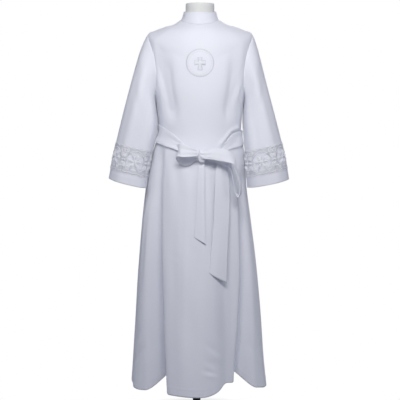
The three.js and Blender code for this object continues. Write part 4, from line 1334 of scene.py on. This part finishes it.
sewing = []
for grid, rows in ((collar_grid, (2, 27)), (band_grid, (1, 31))):
    normals = grid_normals(grid)
    for row in rows:
        outward = normals[row] * np.sign((normals[row] * grid[row] * [1, 1, 0]).sum(-1, keepdims=True))
        sewing.append(stitches(grid[row], outward))
for grid, columns in ((tail_long_grid, (2, 28)), (tail_short_grid, (2, 22))):
    for column in columns:
        forward = np.tile([0.0, -1.0, 0.0], (len(grid), 1))
        sewing.append(stitches(grid[:, column], forward))
row = int(np.argmin(np.abs((1 - SLEEVE_STOPS) * CUFF_LENGTH - CUFF_TURN)))
for ring in sleeve_rings.values():
    outward = unit(ring[row] - ring[row].mean(0))
    sewing.append(stitches(ring[row], outward, radius=0.18))
row = int(np.argmin(np.abs((HEM_ROW - PANEL_ROWS) * HEM_ROW_MM - HEM_TURN)))
for grid in (front_grid, back_right_grid, back_left_grid):
    line = grid[row, 2:-2]
    sewing.append(stitches(line, unit(line * [1, 1, 0]), radius=0.18))
points, faces = join(sewing)
build("edge_stitching", points, faces, "sewing_thread")
print("stitch faces:", sum(len(f) for f in faces))

# %% [markdown]
# ## Buttons at the centre back
#
# A stand collar needs an opening, and it doesn't show. Five small covered buttons with cord loops close it
# at the centre back, where no one sees them from the front. A covered button is a low dome of the robe's
# cloth: a profile turned round the body's normal.

# %% Covered buttons and loops
BUTTON_ANGLE, BUTTON_RADIUS, BUTTON_HEIGHT = 87.4, 6.5, 3.8


def button(z, number):
    """A dome: radius r cos^0.55, height h sin, round the normal of the back. Gives its cord loop."""
    row = row_at(BUTTON_ANGLE, z)
    centre, normal = body_point(BUTTON_ANGLE, row), body_normal(BUTTON_ANGLE, row)
    side = unit(np.cross(normal, [0, 0, 1.0]))
    up = np.cross(side, normal)
    rise = np.linspace(0, np.pi / 2 - 0.12, 14)[:, None]
    turn = np.arange(40)[None] / 40 * 2 * np.pi
    radius = BUTTON_RADIUS * np.cos(rise) ** 0.55
    height = SEAM_GAP + 0.2 + (BUTTON_HEIGHT - 0.2) * np.sin(rise)
    grid = (centre + radius[..., None] * (np.cos(turn)[..., None] * side + np.sin(turn)[..., None] * up)
            + (height + 0 * turn)[..., None] * normal)
    hub = np.arange(40)[None]
    faces = [grid_faces(14, 40, True)[:, ::-1], hub, (hub + 13 * 40)[:, ::-1]]
    build(f"button_{number}_covered", grid.reshape(-1, 3), faces, "sash_cloth",
          nodes=[f"button_{number}"])
    bend = np.linspace(-0.5 * np.pi, 0.5 * np.pi, 25)
    start = -5.5 - 1.2
    reach = np.maximum(np.cos(bend), 0)
    path = (centre + (start + reach * (-start + BUTTON_RADIUS + 0.9))[:, None] * side
            + (np.sin(bend) * (BUTTON_RADIUS + 0.5))[:, None] * up + 1.3 * normal)
    return tubes(path[None], np.tile(normal, (1, 25, 1)), 0.7, 6)


loops = [button(z, k + 1) for k, z in enumerate((1140, 1090, 1040, 990, 940))]
points, faces = join(loops)
build("button_loops", points, faces, "sash_cloth")

# %% [markdown]
# ## Dress form and stand
#
# The form is a padded torso covered with ivory jersey, and ends in a flat neck. It follows the smooth body
# inside the cloth, and comes close to it at the shoulders alone. The pole and base are turned steel with
# satin black paint, so their shapes are profiles turned round the axis.

# %% Form
neck = table(["radius", "height"], [
    [46, 1186], [42.5, 1195], [41, 1210], [41, 1226], [40.4, 1228.6], [39, 1230],
])


def dress_form():
    """Rings of the neck from its cap down, then rings inside the smooth body, then a flat foot."""
    angle = np.arange(128) * 360 / 128
    c, s = np.cos(np.radians(angle)), np.sin(np.radians(angle))
    rings = []
    for height in (1230.0, 1229.4, 1228.0, 1220.0, 1210.0, 1203.0, 1198.0, 1193.0, 1188.5, 1186.0):
        radius = np.interp(height, neck["height"], neck["radius"])
        rings.append(np.stack([radius * c, radius * 0.98 * s - 2, np.full_like(c, height)], -1))
    for row in np.linspace(0, 12, 60):
        inset = curve_at(form["row"], form["inset"], row) + 0.25
        here = np.full_like(angle, row)
        rings.append(body_point(angle, here, False) - body_normal(angle, here, False) * inset)
    rings.append(np.stack([92 * c, 72 * s, np.full_like(c, 715.5)], -1))
    grid = np.array(rings)
    hub = np.arange(128)[None]
    faces = [grid_faces(len(grid), 128, True)[:, ::-1], hub, hub[:, ::-1] + (len(grid) - 1) * 128]
    return grid.reshape(-1, 3), faces


points, faces = dress_form()
build("form_torso_cover", points, faces, "form_cover", nodes=["form_torso"])


def lathe(name, profile, node, count=96):
    """A profile of (radius, height), from the axis below to the axis above, turned round the pole."""
    profile = np.array(profile, float)
    turn = np.arange(count)[None] / count * 2 * np.pi
    radius, height = profile[1:-1, 0][:, None], profile[1:-1, 1][:, None]
    grid = np.stack([radius * np.cos(turn), radius * np.sin(turn), height + 0 * turn], -1)
    hub = np.arange(count)[None]
    rows = grid.shape[0]
    faces = [grid_faces(rows, count, True), hub[:, ::-1], hub + (rows - 1) * count]
    build(name, grid.reshape(-1, 3), faces, "stand_paint", uv=grid.reshape(-1, 3)[:, :2], nodes=[node],
          place=(0, 0, 0))


lathe("stand_base_paint", [
    [0, 0], [148.5, 0], [149.7, 0.6], [150, 2], [150, 4], [149.4, 5.2], [147, 6], [120, 7.6], [75, 10],
    [30, 11.8], [19.5, 12.4], [18.3, 13.4], [18, 15], [18, 38.6], [17.6, 39.6], [16.6, 40], [0, 40],
], "stand_base")
lathe("stand_pole_paint", [
    [0, 40.3], [11.3, 40.3], [11.5, 41], [11.5, 400], [11.5, 714], [11.3, 714.7], [0, 714.7],
], "stand_pole")
print("pieces:", len(pieces))

# %% [markdown]
# ## Floor and light
#
# A white robe before a white ground only shows if the light has a direction. One large soft light high
# before the robe gives the bright chest that fades down the skirt, and a weak one from each side keeps the
# folds readable. One behind lights the back. The floor is plain and pale, and large enough for every view.

# %% Floor
FLOOR_LIT, FLOOR_CLEAR = 0.155, 0.24


def floor_material():
    """Pale paint, lit close to the stand, that turns into clear white further out for the camera."""
    material = bpy.data.materials.new("floor_white")
    material.use_nodes = True
    nodes, links = material.node_tree.nodes, material.node_tree.links
    shader = nodes["Principled BSDF"]
    shader.inputs["Roughness"].default_value = 0.9
    shader.inputs["Specular IOR Level"].default_value = 0.0
    shader.inputs["Base Color"].default_value = (0.42, 0.42, 0.44, 1)
    glow = nodes.new("ShaderNodeEmission")
    glow.inputs["Strength"].default_value = 1.0
    seen = nodes.new("ShaderNodeLightPath")
    place = nodes.new("ShaderNodeTexCoord")
    far = nodes.new("ShaderNodeVectorMath")
    far.operation = "LENGTH"
    links.new(place.outputs["Object"], far.inputs[0])
    fade = nodes.new("ShaderNodeMapRange")
    fade.interpolation_type = "SMOOTHSTEP"
    fade.inputs["From Min"].default_value = FLOOR_LIT
    fade.inputs["From Max"].default_value = FLOOR_CLEAR
    fade.inputs["To Min"].default_value = 0.55
    links.new(far.outputs["Value"], fade.inputs["Value"])
    blend = nodes.new("ShaderNodeMixShader")
    weight = math_node(nodes, links, "MULTIPLY", seen.outputs["Is Camera Ray"], fade.outputs["Result"])
    links.new(weight, blend.inputs[0])
    links.new(shader.outputs[0], blend.inputs[1])
    links.new(glow.outputs[0], blend.inputs[2])
    links.new(blend.outputs[0], nodes["Material Output"].inputs["Surface"])
    return material


floor_mesh = bpy.data.meshes.new("floor")
turn = np.arange(96) / 96 * 2 * np.pi
floor_mesh.from_pydata([(14 * math.cos(t), 14 * math.sin(t), 0.0) for t in turn], [], [tuple(range(96))])
floor_mesh.materials.append(floor_material())
floor = bpy.data.objects.new("floor", floor_mesh)
bpy.context.scene.collection.objects.link(floor)

# %% Light
SKY = (0.17, 0.182, 0.238, 1)

world = bpy.data.worlds.new("studio")
bpy.context.scene.world = world
world.use_nodes = True
nodes, links = world.node_tree.nodes, world.node_tree.links
ray = nodes.new("ShaderNodeLightPath")
sky = nodes.new("ShaderNodeMix")
sky.data_type = "RGBA"
sky.inputs[6].default_value = SKY
sky.inputs[7].default_value = (1, 1, 1, 1)
links.new(ray.outputs["Is Camera Ray"], sky.inputs[0])
links.new(sky.outputs[2], nodes["Background"].inputs["Color"])


def area_light(name, place, target, size, power, color=(1, 1, 1)):
    """A soft light at a place, turned to a target; both in millimetres, and the power in watts."""
    data = bpy.data.lights.new(name, "AREA")
    data.shape = "RECTANGLE"
    data.size, data.size_y = size[0] * MM, size[1] * MM
    data.energy = power
    data.color = color
    light = bpy.data.objects.new(name, data)
    start, goal = np.array(place) * MM, np.array(target) * MM
    away = start - goal
    light.location = start
    tilt, heading = math.acos(away[2] / np.linalg.norm(away)), math.atan2(away[1], away[0])
    light.rotation_euler = (tilt, 0, heading + math.pi / 2)
    bpy.context.scene.collection.objects.link(light)


area_light("key", (0, -1200, 1700), (20, 0, 600), (900, 400), 13.5, (1.0, 0.99, 0.965))
area_light("left_fill", (-2500, -1000, 1200), (0, 0, 950), (900, 1500), 7, (0.95, 0.97, 1.0))
area_light("right_fill", (2400, -1400, 1300), (0, 0, 800), (900, 1600), 8, (0.95, 0.97, 1.0))
area_light("back_fill", (600, 2400, 1700), (0, 0, 700), (1400, 1800), 38, (0.95, 0.97, 1.0))
bpy.context.scene.view_settings.view_transform = "Standard"
print("lights ready")
